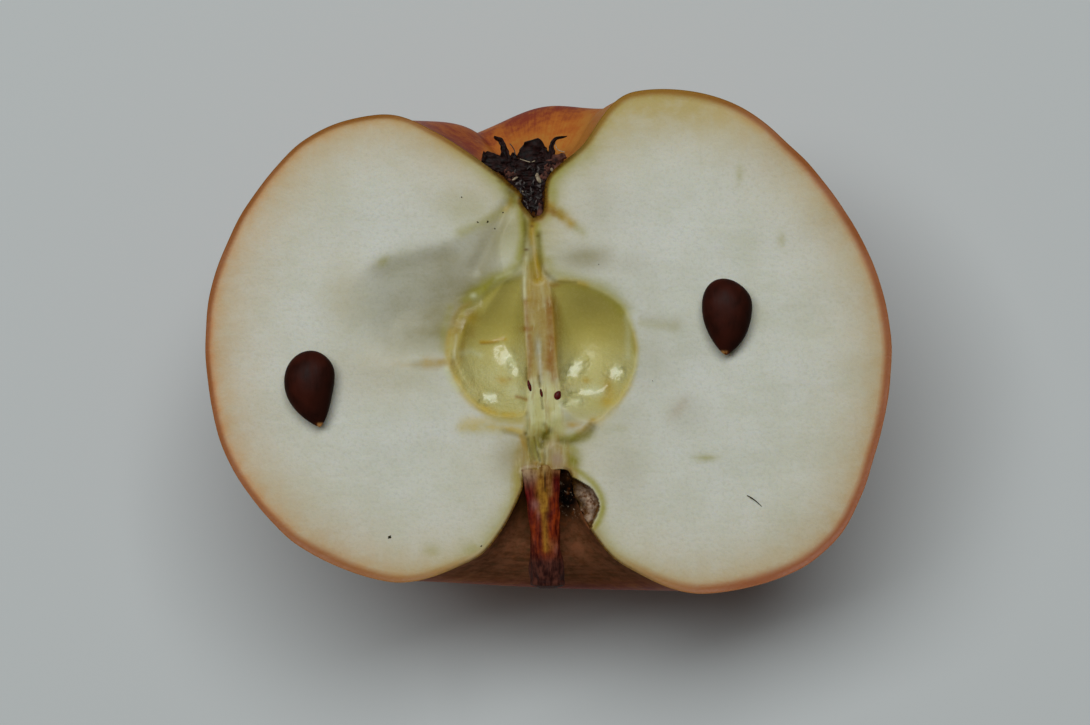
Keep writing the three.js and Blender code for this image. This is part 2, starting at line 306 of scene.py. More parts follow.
class Paint:
    """A procedural material, put together from masks and noise on one Principled shader."""

    def __init__(self, name, **sockets):
        self.material = bpy.data.materials.new(name)
        self.material.use_nodes = True
        self.tree = self.material.node_tree
        self.shader = self.tree.nodes["Principled BSDF"]
        for socket, value in sockets.items():
            self.set(socket.replace("_", " "), value)
        self.place = self.tree.nodes.new("ShaderNodeTexCoord").outputs["Object"]

    def set(self, socket, value):
        target = self.shader.inputs[socket]
        if isinstance(value, bpy.types.NodeSocket):
            self.tree.links.new(value, target)
        else:
            target.default_value = value

    def node(self, kind, inputs, output=0, **settings):
        made = self.tree.nodes.new(kind)
        for key, value in settings.items():
            setattr(made, key, value)
        for key, value in inputs.items():
            if isinstance(value, bpy.types.NodeSocket):
                self.tree.links.new(value, made.inputs[key])
            else:
                made.inputs[key].default_value = value
        return made.outputs[output]

    def mask(self, name):
        """One of the mesh's masks, as a value from 0 to 1."""
        return self.node("ShaderNodeAttribute", {}, "Fac", attribute_name=name)

    def noise(self, size_mm, detail, rough, place=None):
        """Noise with lumps of about the given size."""
        inputs = {"Vector": place or self.place, "Scale": 1000.0 / size_mm}
        inputs.update({"Detail": detail, "Roughness": rough})
        return self.node("ShaderNodeTexNoise", inputs, "Fac")

    def lanes(self, across, along, detail, rough):
        """Noise with so many lanes round the half and from stalk to calyx."""
        places = {0: self.times(self.mask("around"), across), 1: self.times(self.mask("along"), along)}
        inputs = {"Vector": self.node("ShaderNodeCombineXYZ", places), "Scale": 1.0}
        inputs.update({"Detail": detail, "Roughness": rough})
        return self.node("ShaderNodeTexNoise", inputs, "Fac")

    def cells(self, size_mm):
        inputs = {"Vector": self.place, "Scale": 1000.0 / size_mm}
        return self.node("ShaderNodeTexVoronoi", inputs, "Distance")

    def stretched(self, x, y, z):
        """Places for a noise that is stretched where the numbers are under 1."""
        return self.node("ShaderNodeVectorMath", {0: self.place, 1: (x, y, z)}, operation="MULTIPLY")

    def math(self, operation, a, b, clamp=False):
        return self.node("ShaderNodeMath", {0: a, 1: b}, operation=operation, use_clamp=clamp)

    def times(self, a, b, clamp=False):
        return self.math("MULTIPLY", a, b, clamp)

    def plus(self, a, b, clamp=False):
        return self.math("ADD", a, b, clamp)

    def span(self, value, low, high, to_low=0.0, to_high=1.0, kind="SMOOTHSTEP"):
        """The value, taken from one range to another and kept inside it."""
        inputs = {"Value": value, "From Min": low, "From Max": high, "To Min": to_low, "To Max": to_high}
        return self.node("ShaderNodeMapRange", inputs, interpolation_type=kind)

    def even(self, value, low, high):
        """A straight line from low to high, as the value goes from 0 to 1."""
        return self.span(value, 0.0, 1.0, low, high, "LINEAR")

    def mix(self, factor, a, b):
        """One colour over another."""
        made = self.tree.nodes.new("ShaderNodeMix")
        made.data_type = "RGBA"
        for socket, value in zip((made.inputs[0], made.inputs[6], made.inputs[7]), (factor, a, b)):
            if isinstance(value, bpy.types.NodeSocket):
                self.tree.links.new(value, socket)
            else:
                socket.default_value = value if socket is made.inputs[0] else (*value[:3], 1.0)
        return made.outputs[2]

    def two_tones(self, value, dark, light_tone, low=0.3, high=0.7):
        """From the dark tone to the light one, as the value goes from low to high."""
        return self.mix(self.span(value, low, high), dark, light_tone)

    def bump(self, height, depth_mm, strength):
        inputs = {"Height": height, "Distance": depth_mm / 1000, "Strength": strength}
        self.set("Normal", self.node("ShaderNodeBump", inputs))


def linear(value):
    """The light of a screen value from 0 to 255."""
    share = value / 255
    return share / 12.92 if share <= 0.04045 else ((share + 0.055) / 1.055) ** 2.4


def rgb(r, g, b):
    return linear(r), linear(g), linear(b)


LIGHT_SHARE = 0.575  # how much of a matt colour the studio light gives back on the cut face
HAZE = 0.014  # what the light's broad reflection adds to every colour
SEED_HAZE = 0.002  # the same on the seeds, which shine less
LIGHTEST = 0.92  # the lightest surface colour
DEEPEST = 0.2  # the least share of a dark tone that is kept when the haze is taken off


def tone(r, g, b, haze=HAZE):
    """The surface colour that looks like these screen values on the cut face."""
    return tuple(min(LIGHTEST, max(v - haze, DEEPEST * v) / LIGHT_SHARE) for v in rgb(r, g, b))


FLESH_LAYERS = [  # mask, its tone, how far a noise breaks it up
    ("straw", tone(162, 148, 104), 0.2),
    ("shade", tone(118, 111, 74), 0.1),
    ("pinkish", tone(174, 116, 78), 0.3),
    ("yellow", tone(150, 134, 56), 0.3),
    ("chamber", tone(154, 144, 80), 0.0),
    # painted light: the lower halves of the chambers, which face the lamp, made lighter
    ("painted_chamber_light", tone(164, 158, 108), 0.2),
    ("tan", tone(146, 129, 72), 0.1),
    ("cream", tone(172, 168, 116), 0.1),
    ("grey", tone(152, 150, 130), 0.2),
    ("green", tone(130, 125, 42), 0.15),
    ("gold", tone(150, 122, 34), 0.45),
    ("amber", tone(172, 150, 66), 0.5),
    ("rust", tone(126, 88, 14), 0.45),
    # pale tissue, and painted highlight at the chambers' flat wet spots and low walls
    ("pale", tone(176, 178, 146), 0.3),
    ("olive", tone(88, 80, 14), 0.3),
    ("rose", tone(134, 112, 92), 0.2),
]


def flesh_material():
    p = Paint("apple_flesh", Subsurface_Weight=0.35, Subsurface_Scale=0.001, IOR=1.38, Coat_IOR=1.46)
    p.set("Subsurface Radius", (1.0, 0.8, 0.5))
    grain = p.noise(0.42, 3.0, 0.65)
    knife = p.noise(1.2, 3.0, 0.6, p.stretched(0.35, 1.0, 1.0))
    cloud = p.noise(7.0, 4.0, 0.6)
    breakup = p.noise(1.6, 3.0, 0.6)
    colour = p.two_tones(cloud, tone(178, 179, 171), tone(171, 172, 159), 0.35, 0.7)
    colour = p.mix(p.span(knife, 0.45, 0.75, 0.0, 0.25), colour, tone(184, 186, 180))
    colour = p.mix(p.span(grain, 0.55, 0.3, 0.0, 0.4), colour, tone(158, 160, 146))
    for mask, its_tone, broken in FLESH_LAYERS:
        strength = p.mask(mask)
        if broken:
            left_over = p.span(breakup, 0.25, 0.7, 1.0 - broken, 1.0 + broken * 0.3)
            strength = p.times(strength, left_over, True)
        colour = p.mix(strength, colour, its_tone)
    fibre = p.noise(0.5, 3.0, 0.6, p.stretched(1.0, 0.16, 1.0))
    dark_fibres = p.times(p.mask("fibres"), p.span(fibre, 0.48, 0.68, 0.0, 0.45))
    light_fibres = p.times(p.mask("fibres"), p.span(fibre, 0.46, 0.3, 0.0, 0.4))
    colour = p.mix(dark_fibres, colour, tone(130, 102, 40))
    colour = p.mix(light_fibres, colour, tone(172, 164, 124))
    skin = p.mix(p.mask("redness"), tone(134, 100, 42), tone(128, 74, 48))
    brown = p.two_tones(grain, tone(56, 40, 14), tone(96, 68, 30))
    fuzz = p.two_tones(p.noise(0.9, 4.0, 0.7), tone(88, 62, 46), tone(170, 150, 132), 0.35, 0.65)
    for mask, over in (("edge", skin), ("brown", brown), ("fuzz", fuzz), ("dark", tone(12, 9, 7))):
        colour = p.mix(p.mask(mask), colour, over)
    p.set("Base Color", colour)

    wet = p.mask("wet")
    dull = p.plus(p.mask("brown"), p.mask("fuzz"), True)
    coat = p.plus(p.times(wet, 0.75), 0.08, True)
    p.set("Roughness", p.times(p.span(grain, 0.3, 0.7, 0.42, 0.58), p.even(wet, 1.0, 0.7)))
    p.set("Specular IOR Level", p.even(dull, 0.4, 0.05))
    p.set("Coat Weight", p.times(coat, p.math("SUBTRACT", 1.0, dull), True))
    p.set("Coat Roughness", p.span(grain, 0.3, 0.7, 0.2, 0.32, "LINEAR"))

    height = p.times(p.plus(grain, p.times(knife, 0.3)), p.span(wet, 0.0, 1.0, 0.8, 0.45))
    crinkle = p.times(p.mask("crinkle"), p.noise(0.62, 4.0, 0.7))
    crumb = p.times(p.mask("fuzz"), p.noise(0.7, 3.0, 0.7))
    height = p.plus(height, p.times(crinkle, 5.2))
    p.bump(p.plus(height, p.times(crumb, 5.0)), 0.09, 0.6)
    return p.material


def skin_material():
    p = Paint("apple_skin", IOR=1.42)
    streak = p.lanes(110.0, 17.0, 3.0, 0.6)
    ring = p.lanes(8.0, 160.0, 4.0, 0.65)
    patch = p.noise(14.0, 4.0, 0.6)
    mottle = p.noise(1.3, 4.0, 0.65)
    scurf = p.noise(0.9, 4.0, 0.7)
    blush = p.mask("redness")
    for noise, share in ((patch, 0.3), (streak, 0.1), (mottle, 0.2)):
        blush = p.plus(blush, p.span(noise, 0.3, 0.7, -share, share))
    colour = p.two_tones(blush, tone(152, 98, 44), tone(148, 80, 36), 0.0, 0.55)
    colour = p.mix(p.span(blush, 0.4, 1.1), colour, tone(108, 36, 22))
    # A paler tone over the calyx basin: partly its own colour, partly painted light on its shaded walls.
    colour = p.mix(p.times(p.mask("basin"), 0.12), colour, tone(160, 130, 96))
    dots = p.span(p.cells(3.4), 0.05, 0.11, 0.25, 0.0)
    colour = p.mix(dots, colour, tone(160, 116, 60))

    russet = p.mask("russet")
    rough_rings = p.plus(p.times(ring, 0.4), p.times(p.noise(1.6, 4.0, 0.7), 0.6))
    brown = p.two_tones(rough_rings, tone(94, 64, 47), tone(130, 86, 64), 0.38, 0.62)
    brown = p.mix(p.span(scurf, 0.5, 0.75, 0.0, 0.6), brown, tone(88, 72, 52))
    # painted shade: darker deep in the stalk's hollow, on its right wall and inside the calyx tube
    brown = p.mix(p.mask("hollow_shade"), brown, tone(68, 48, 36))
    crumbs = p.two_tones(p.noise(0.5, 3.0, 0.7), tone(24, 18, 15), tone(118, 106, 92), 0.58, 0.7)
    brown = p.mix(p.mask("black"), brown, crumbs)
    colour = p.mix(p.times(russet, p.span(scurf, 0.2, 0.5, 0.75, 1.0), True), colour, brown)
    p.set("Base Color", colour)
    p.set("Roughness", p.even(russet, 0.42, 0.9))
    p.set("Specular IOR Level", p.even(p.math("MAXIMUM", russet, p.mask("basin")), 0.14, 0.02))
    p.bump(p.plus(p.times(ring, russet), p.times(scurf, 0.5)), 0.12, 0.4)
    return p.material


STALK_LAYERS = [  # mask, its dark and light tones, in the order they lie on each other
    ("end", tone(46, 32, 28), tone(80, 52, 46)),
    ("wine", tone(60, 14, 16), tone(90, 34, 32)),
    ("rust", tone(72, 28, 10), tone(118, 52, 20)),
    ("tan", tone(100, 66, 36), tone(138, 104, 66)),
    ("pith", tone(98, 66, 26), tone(140, 104, 46)),
    # painted sheen: lilac patches, mostly on the split face
    ("lilac_sheen", tone(88, 50, 48), tone(126, 88, 80)),
    ("pale", tone(112, 88, 70), tone(154, 132, 108)),
    ("slit", tone(22, 10, 5), tone(40, 20, 10)),
    ("faded", tone(96, 70, 38), tone(140, 116, 76)),
]


def stalk_material():
    p = Paint("stalk", IOR=1.4, Specular_IOR_Level=0.12)
    grain = p.noise(0.32, 4.0, 0.65, p.stretched(1.0, 0.14, 1.0))
    blotch = p.noise(0.8, 3.0, 0.6)
    shade = p.span(p.plus(p.times(grain, 0.6), p.times(blotch, 0.4)), 0.36, 0.64)
    colour = p.mix(shade, tone(60, 28, 22), tone(98, 50, 36))
    for mask, dark, light_tone in STALK_LAYERS:
        colour = p.mix(p.mask(mask), colour, p.mix(shade, dark, light_tone))
    p.set("Base Color", colour)
    p.set("Roughness", p.span(grain, 0.3, 0.7, 0.5, 0.75, "LINEAR"))
    p.bump(grain, 0.16, 0.7)
    return p.material


def plain_material(name, dark, light_tone, rough, size_mm, depth_mm):
    """A material that wavers between two tones."""
    p = Paint(name, Specular_IOR_Level=0.2)
    grain = p.noise(size_mm, 4.0, 0.65)
    p.set("Base Color", p.two_tones(grain, dark, light_tone))
    p.set("Roughness", p.span(grain, 0.3, 0.7, rough - 0.08, rough + 0.08, "LINEAR"))
    p.bump(grain, depth_mm, 0.6)
    return p.material


def seed_material():
    p = Paint("seed_coat", IOR=1.45, Specular_IOR_Level=0.05)
    grain = p.noise(0.6, 3.0, 0.6, p.stretched(1.0, 0.35, 1.0))
    cloud = p.noise(2.6, 2.0, 0.5)
    colour = p.two_tones(grain, tone(31, 16, 13, SEED_HAZE), tone(40, 19, 15, SEED_HAZE))
    colour = p.mix(p.span(cloud, 0.4, 0.65, 0.0, 0.6), colour, tone(51, 22, 16, SEED_HAZE))
    colour = p.mix(p.mask("shady"), colour, tone(25, 15, 12, SEED_HAZE))
    tip = p.two_tones(grain, tone(84, 48, 22), tone(150, 108, 66), 0.4, 0.6)
    colour = p.mix(p.mask("tip"), colour, tip)
    p.set("Base Color", colour)
    p.set("Roughness", p.span(grain, 0.3, 0.7, 0.34, 0.48, "LINEAR"))
    p.bump(p.plus(grain, p.times(cloud, 2.0)), 0.06, 0.5)
    return p.material


# ---------------------------------------------------------------- the apple's surface

def skin_points(angle, share):
    """Points of the apple's surface, as the solid has them."""
    right = spline([knot[0] for knot in OUTLINE], share)
    left = spline([knot[1] for knot in OUTLINE], share)
    swell = spline([(knot[2],) for knot in OUTLINE], share)[..., 0]
    under = np.sin(angle) ** 2
    r, y = np.moveaxis(left + (right - left) * ((1 + np.cos(angle)) / 2)[..., None], -1, 0)
    fold = np.cos(RIBS["count"] / 2 * (angle - math.radians(RIBS["turn"])))
    wave = 2 * np.hypot(fold, RIBS["soft"]) ** RIBS["swell"] - 1
    rib = swell * under * wave
    to_stalk = smooth(-y, *UNDER["shoulders"]) * UNDER["stalk_shoulder"]
    to_calyx = smooth(y, *UNDER["shoulders"]) * (UNDER["calyx_shoulder"] + rib)
    radius = r * (1 - under * UNDER["slimmer"]) + rib * smooth(r, *RIBS["spread"])
    height = y + under * (to_stalk + to_calyx)
    return np.stack([core_x(y) + radius * np.cos(angle), height, -radius * np.sin(angle)], -1)


REDNESS = [  # angle in the cut plane, how red the skin is there
    (-180, 0.8), (-150, 0.8), (-120, 0.7), (-100, 0.55), (-80, 0.7), (-60, 0.95), (-30, 0.95), (0, 0.85),
    (30, 0.85), (48, 0.7), (60, 0.15), (75, 0.05), (95, 0.1), (108, 0.3), (125, 0.5), (150, 0.7), (180, 0.8),
]
SKIN_LINE = [  # angle in the cut plane, how wide the skin's colour shows round the cut there, in mm
    (-180, 0.38), (-150, 0.5), (-137, 0.8), (-120, 0.55), (-95, 0.4), (-60, 0.7), (-45, 0.85), (-28, 0.66),
    (30, 0.6), (45, 0.52), (60, 0.6), (90, 0.4), (150, 0.38), (165, 0.5), (180, 0.38),
]
RIM_SHADE = [  # angle in the cut plane, how much the flesh darkens towards the rim there
    (-180, 0), (-150, 0), (-138, 1), (-125, 0.7), (-112, 0), (-75, 0.3), (-50, 1), (35, 1), (55, 0), (180, 0),
]


def round_the_cut(xy, table):
    """The table's value at the angle of each point in the cut plane."""
    turn = np.degrees(np.arctan2(xy[:, 1], xy[:, 0]))
    return np.interp(turn, *zip(*table))


def redness(xy):
    return round_the_cut(xy, REDNESS)


def inside(points, loop):
    """Whether each point lies inside the closed loop."""
    hit = np.zeros(len(points), bool)
    for (x0, y0), (x1, y1) in zip(loop, np.roll(loop, -1, axis=0)):
        if y0 == y1:
            continue
        crosses = (y0 > points[:, 1]) != (y1 > points[:, 1])
        hit ^= crosses & (points[:, 0] < (x1 - x0) * (points[:, 1] - y0) / (y1 - y0) + x0)
    return hit


def hex_grid(spacing, low, high):
    """Points of a grid of even triangles, whose rows lie 0.866 of the spacing apart."""
    rows = np.arange(low[1], high[1], spacing * 0.866)
    columns = np.arange(low[0], high[0], spacing)
    x, y = np.meshgrid(columns, rows)
    x[1::2] += spacing / 2
    return np.stack([x.ravel(), y.ravel()], 1)


def near_core(xy):
    """Where the cut face has fine detail: the chambers, the core from stalk to calyx and the pocket."""
    oval = np.hypot(*((xy - FINE_OVAL["middle"]) / FINE_OVAL["half"]).T) < 1
    strip = (np.abs(xy[:, 0] - FINE_STRIP["middle"]) < FINE_STRIP["half"]) & (xy[:, 1] > FINE_STRIP["low"])
    pocket = np.hypot(*(xy - FINE_ROUND["middle"]).T) < FINE_ROUND["radius"]
    return oval | (strip & (xy[:, 1] < FINE_STRIP["high"])) | pocket


def pocket_depth(xy):
    plan = in_rim(xy, *POCKET)
    ragged = 1 + 0.18 * ripple(xy, 1.3, 4)
    return POCKET_DEPTH * np.clip(1 - plan**2, 0, 1) ** POCKET_ROUNDNESS * ragged


FACETS = [  # x, y, half width, half length, turn: the flat wet spots in the membranes of the chambers
    (-4.4, -1.3, 0.65, 1.0, 0.5), (-3.4, -2.8, 0.4, 0.75, 0.5), (-6.1, -5.9, 0.8, 0.5, 0.1),
    (3.4, -2.7, 0.6, 1.2, -0.75), (7.9, -3.1, 0.75, 0.7, 0.0), (4.6, -5.3, 1.1, 0.4, 0.2),
    (6.4, -4.9, 0.6, 0.35, 0.5), (3.2, -6.4, 0.8, 0.35, 0.2),
]
FACET_SLOPE = (0.058, -0.153)
SWELLS = [  # x, y, half width, half length, height in mm, turn
    (-4.0, 11.0, 1.5, 3.0, 0.35, 0.1), (-0.7, -0.6, 0.5, 2.0, -0.25, 0.06), (1.5, -12.8, 0.9, 1.5, 0.4, 0.25),
    (-0.3, -10.6, 0.7, 0.8, -0.4),
]
GROOVES = [  # path, width and depth in mm
    (DISH_GROOVE, 0.7, 0.45), ([(-1.5, 13.4), (-1.1, 9.4), (-0.8, 7.6)], 0.5, 0.45),
    ([(-16.0, -2.1), (-11.4, -2.1)], 0.5, 0.08),
]


def dish_depth(xy):
    """How far down the torn dish goes: a soft step at its upper edge, then a slope away from it."""
    x, y = xy.T
    from_edge = distance_to_path(xy, spline(DISH_EDGE, np.linspace(0, 1, 50)))
    below = (y < np.interp(x, *zip(*DISH_EDGE))) & (x > DISH_EDGE[0][0])
    step = smooth(from_edge, 0.0, DISH["step_width"]) * DISH["step"]
    slope = DISH["slope"] * np.clip(from_edge - DISH["slope_start"], 0, DISH["slope_reach"])
    depth = np.where(below, step + slope, 0)
    return depth * smooth(y, -2.8, 3.0) * smooth(x, -24, -17) * smooth(-x, 4.2, 7.4)


def relief(xy):
    """Heights of the cut face over its plane, and the masks of its chambers and dish."""
    x, y = xy.T
    dish = dish_depth(xy)
    depth = dish
    z = 0.05 * ripple(xy, 9, 3) - FACE_SINK + 0.005 * ripple(xy * (0.5, 1), 1.1, 6)
    chamber = np.zeros(len(xy))
    wrinkles = smooth(-y, -2.5, 1.5) * (0.04 * ripple(xy, 2.4, 5) + 0.008 * ripple(xy, 0.7, 8))
    for middle, rim in CHAMBERS:
        plan = in_rim(xy, middle, rim)
        bowl = CHAMBER_DEPTH * np.clip(1 - plan**2, 0, 1) ** CHAMBER_ROUNDNESS
        if middle[0] < 0:
            shelf = smooth(plan, 0.66, 0.9) * smooth(-x, 7.4, 9.0) * smooth(5.0 - y, 0, 1.5)
            bowl = bowl + (np.minimum(bowl, SHELF_DEPTH) - bowl) * shelf
        depth = (depth**4 + bowl**4) ** 0.25  # the deeper of the two, with a soft change
        z = z + smooth(plan, 1.03, 0.94) * wrinkles
        chamber = np.maximum(chamber, smooth(plan, 1.1, 0.92))
    z = z - depth + blot(xy, -5.9, 0.4, 1.3, 0.15, 0.1, 0.1)
    ragged = 1 + 0.25 * ripple(xy, 0.8, 9)
    for x0, y0, half_x, half_y, turn in FACETS:
        spot = smooth(blot(xy, x0, y0, 1.5 * half_x, 1.5 * half_y, 1.0, turn) * ragged, 0.1, 0.75)
        level = z[np.argmin(np.hypot(x - x0, y - y0))]
        flat = level + FACET_SLOPE[0] * (x - x0) + FACET_SLOPE[1] * (y - y0)
        z = z + (flat - z) * spot
    z = z + sum(blot(xy, *swell) for swell in SWELLS) - sum(line(xy, *groove) for groove in GROOVES)
    return z, chamber, np.clip(dish / DISH["full"], 0, 1)


# Strokes of colour on the cut face. A line is its path, width and strength, and a blot is its middle, its
# half width and length, its strength and its turn.
GREEN = dict(
    lines=[
        ([(-9.4, 12.6), (-6.6, 13.9), (-3.8, 15.6)], 0.7, 0.5),
        ([(1.6, 14.6), (2.8, 13.7), (4.2, 12.6)], 0.5, 0.45),
        ([(-9.0, -9.2), (-4.0, -9.2), (-2.4, -9.4)], 0.8, 0.35),
        ([(2.7, -12.4), (3.1, -13.6), (4.6, -14.7), (5.8, -15.9), (6.45, -17.6), (6.2, -19.2),
          (5.5, -20.5)], 0.45, 0.85),
        ([(-2.7, -15.2), (-3.2, -17.2), (-4.2, -19.2), (-5.3, -21.2)], 0.45, 0.6),
        ([(4.6, -9.6), (6.6, -9.3), (8.6, -9.2)], 0.6, 0.2),
        ([(-2.8, 9.2), (-4.0, 8.0), (-6.0, 7.1), (-7.4, 6.0), (-8.6, 5.0)], 0.9, 0.85),
        ([(0.2, 9.4), (1.2, 7.9), (3.6, 7.2), (6.0, 6.5), (7.8, 5.2), (8.9, 3.8)], 0.9, 0.6),
        ([(8.9, 3.8), (9.7, 1.8), (10.0, -0.6)], 0.6, 0.3),
        ([(-2.7, 15.6), (-2.5, 13.0), (-2.6, 11.0), (-2.9, 9.6)], 0.75, 0.9),
        ([(-0.9, 13.4), (-0.7, 11.0), (-0.3, 9.4)], 0.7, 0.8),
        ([(10.6, 2.4), (12.0, 2.2), (14.5, 2.0)], 0.45, 0.25),
        ([(-10.6, 4.2), (-11.3, 1.5), (-11.4, -0.6)], 0.5, 0.4),
        ([(1.8, -10.6), (2.9, -11.3), (3.4, -12.0)], 0.7, 0.75),
    ],
    blots=[
        (-18.1, 9.3, 0.8, 0.45, 0.6, 0.7), (17.9, -12.6, 1.2, 0.4, 0.7), (26.4, 11.7, 0.4, 0.8, 0.4),
        (21.7, 19.0, 0.4, 1.1, 0.4), (-12.6, -22.9, 1.0, 0.7, 0.4), (-8.0, -22.9, 1.4, 0.9, 0.6),
        (-3.4, 16.8, 1.3, 2.4, 1.0, 0.35), (0.8, 16.8, 0.9, 2.2, 0.85), (1.6, 14.9, 1.2, 0.7, 0.6, -0.6),
        (3.3, -10.4, 2.0, 0.8, 1.0, 0.3), (2.5, -12.2, 0.6, 1.0, 0.6), (-3.4, -8.5, 3.0, 0.8, 0.5),
        (0.0, -9.6, 2.6, 1.3, 0.7), (-1.8, 12.5, 2.2, 3.5, 0.6), (-9.0, 15.0, 3.0, 2.0, 0.25),
        (24.0, 3.0, 1.0, 1.6, 0.15), (-1.2, -7.6, 3.0, 1.8, 0.3), (4.4, 21.2, 1.4, 2.6, 0.45, -0.6),
        (-6.0, 20.0, 2.0, 0.9, 0.4, -0.5), (-1.3, -11.6, 1.3, 1.8, 0.9), (3.1, -13.0, 0.9, 1.3, 1.0, -0.4),
        (4.6, -10.1, 1.2, 0.6, 0.9, 0.6), (0.5, -12.0, 0.5, 0.7, 0.5), (-3.2, -12.0, 1.0, 1.6, 0.45),
        (0.6, -8.6, 1.6, 0.8, 0.5), (2.6, -8.4, 1.4, 0.7, 0.35), (5.6, -7.4, 2.0, 1.0, 0.3),
        (2.6, 21.0, 1.2, 0.6, 0.6, 0.3),
    ],
)
GOLD = dict(
    lines=[
        ([(-1.4, 13.7), (-1.5, 12.0), (-1.3, 11.0), (-1.05, 10.0), (-0.8, 9.0), (-0.45, 8.0)], 0.42, 0.7),
        ([(0.1, 15.8), (1.0, 15.0), (1.8, 14.4), (2.8, 13.6)], 0.55, 1.0),
        ([(-8.4, 4.7), (-9.6, 3.9), (-10.3, 2.6), (-10.75, 0.9), (-10.9, -0.7), (-10.6, -2.4)], 0.35, 0.5),
        ([(-10.6, -2.4), (-10.0, -3.6), (-9.2, -5.0)], 0.35, 0.5),
        ([(-7.9, -6.3), (-7.2, -7.0), (-6.0, -7.5), (-5.0, -7.8), (-3.5, -7.8)], 0.3, 0.5),
        ([(-8.6, 3.8), (-9.1, 2.2), (-9.25, 0.4), (-9.5, -1.6), (-9.9, -2.9)], 0.42, 0.5),
        ([(-7.2, 0.4), (-6.0, 0.45), (-5.0, 0.75), (-4.5, 0.75)], 0.22, 0.9),
        ([(0.7, 6.9), (2.0, 7.1), (3.4, 7.0), (4.6, 6.7)], 0.4, 0.4),
        ([(9.9, 1.3), (10.15, -0.6)], 0.3, 0.25),
        ([(-4.6, -9.3), (-3.8, -9.4), (-2.8, -9.7)], 0.3, 0.4),
        ([(5.4, -8.4), (4.8, -9.1), (3.9, -9.6)], 0.45, 0.75),
        ([(-17.0, -2.1), (-14.4, -2.15), (-12.6, -2.1)], 0.3, 0.22),
        ([(-13.2, -2.0), (-11.2, -1.9)], 0.6, 0.6),
        ([(-1.0, -13.4), (-0.2, -13.4)], 0.45, 1.0),
        ([(-4.4, 15.2), (-3.8, 16.0), (-3.7, 17.0)], 0.35, 0.5),
        ([(-2.7, -10.1), (-2.2, -11.4), (-1.8, -12.6), (-1.5, -13.6)], 0.28, 0.7),
        ([(0.7, -8.2), (0.4, -7.0), (0.3, -6.2)], 0.3, 0.35),
    ],
    blots=[
        (-4.8, -3.9, 0.7, 0.4, 0.75, -0.4), (7.1, -4.8, 0.55, 1.2, 0.75), (6.8, -6.3, 0.6, 0.6, 0.7),
        (4.6, -3.9, 0.4, 0.35, 0.85), (3.2, -8.9, 1.0, 0.4, 0.7), (-8.2, 3.2, 0.9, 1.0, 0.6),
        (-3.9, -9.4, 0.6, 0.35, 0.6), (-6.4, -7.2, 1.0, 0.4, 0.45, -0.4), (2.6, -4.6, 1.2, 0.5, 0.35, 0.5),
        (-9.6, 1.8, 0.9, 2.2, 0.55), (-0.6, 7.2, 0.9, 2.0, 0.6), (-1.7, 5.6, 0.5, 1.6, 0.4),
        (-10.1, -2.8, 0.7, 0.9, 0.5), (1.5, 3.0, 0.5, 2.6, 0.15),
    ],
)
AMBER = dict(
    lines=[
        ([(-9.9, -3.8), (-9.1, -5.1), (-8.1, -6.3), (-7.1, -7.0), (-6.0, -7.5), (-5.0, -7.8), (-3.5, -7.8),
          (-2.4, -7.6)], 0.6, 0.55),
        ([(9.3, -4.4), (8.4, -6.0), (7.2, -7.4), (6.0, -8.4)], 0.6, 0.35),
        ([(-9.4, -9.1), (-6.0, -9.2), (-3.8, -9.4), (-2.8, -9.7)], 0.5, 0.5),
        ([(-8.9, -8.6), (-5.0, -8.5), (-2.4, -8.3)], 0.7, 0.4),
    ],
    blots=[(-8.0, -5.0, 1.2, 1.0, 0.4, -0.6), (7.4, -6.2, 0.9, 1.4, 0.5, -0.5)],
)
RUST = dict(
    lines=[
        ([(-2.2, 5.2), (-2.05, 3.6), (-1.95, 2.3)], 0.3, 0.6),
        ([(-1.75, 1.0), (-1.65, -0.4), (-1.7, -2.0), (-1.9, -3.6)], 0.32, 0.8),
        ([(0.45, 4.8), (0.7, 2.6), (0.75, 0.9), (0.6, -0.6), (0.6, -2.2), (0.9, -3.6)], 0.6, 1.0),
        ([(-0.9, 5.0), (-0.5, 3.0), (-0.4, 1.2)], 0.45, 0.2),
        ([(-3.2, -5.75), (-2.7, -5.85), (-2.1, -6.1)], 0.2, 0.75),
        ([(1.3, -2.6), (1.6, -3.7)], 0.25, 0.45),
        ([(-10.0, 2.4), (-10.05, 0.5), (-10.15, -1.5)], 0.35, 0.3),
        ([(-7.1, 0.25), (-5.2, 0.5)], 0.12, 0.5),
        ([(-0.6, 15.2), (0.2, 15.1), (1.0, 14.8)], 0.4, 0.7),
        ([(-2.3, -13.95), (-1.0, -13.75), (0.6, -13.7), (2.0, -13.9)], 0.4, 0.75),
    ],
    blots=[
        (-2.0, 1.8, 0.75, 0.4, 1.0), (1.0, 6.7, 0.6, 0.3, 0.6), (-0.6, 14.3, 0.5, 0.5, 0.8),
        (15.0, -7.0, 1.5, 0.7, 0.2, 0.9), (-3.9, -3.75, 0.3, 0.2, 0.4), (-1.4, 4.2, 0.5, 1.6, 0.25),
        (-8.3, 1.4, 0.6, 0.8, 0.25), (-10.3, -2.0, 0.4, 0.7, 0.3), (-0.6, -13.6, 0.8, 0.5, 1.0),
        (0.5, 4.2, 0.6, 1.2, 0.4),
    ],
)
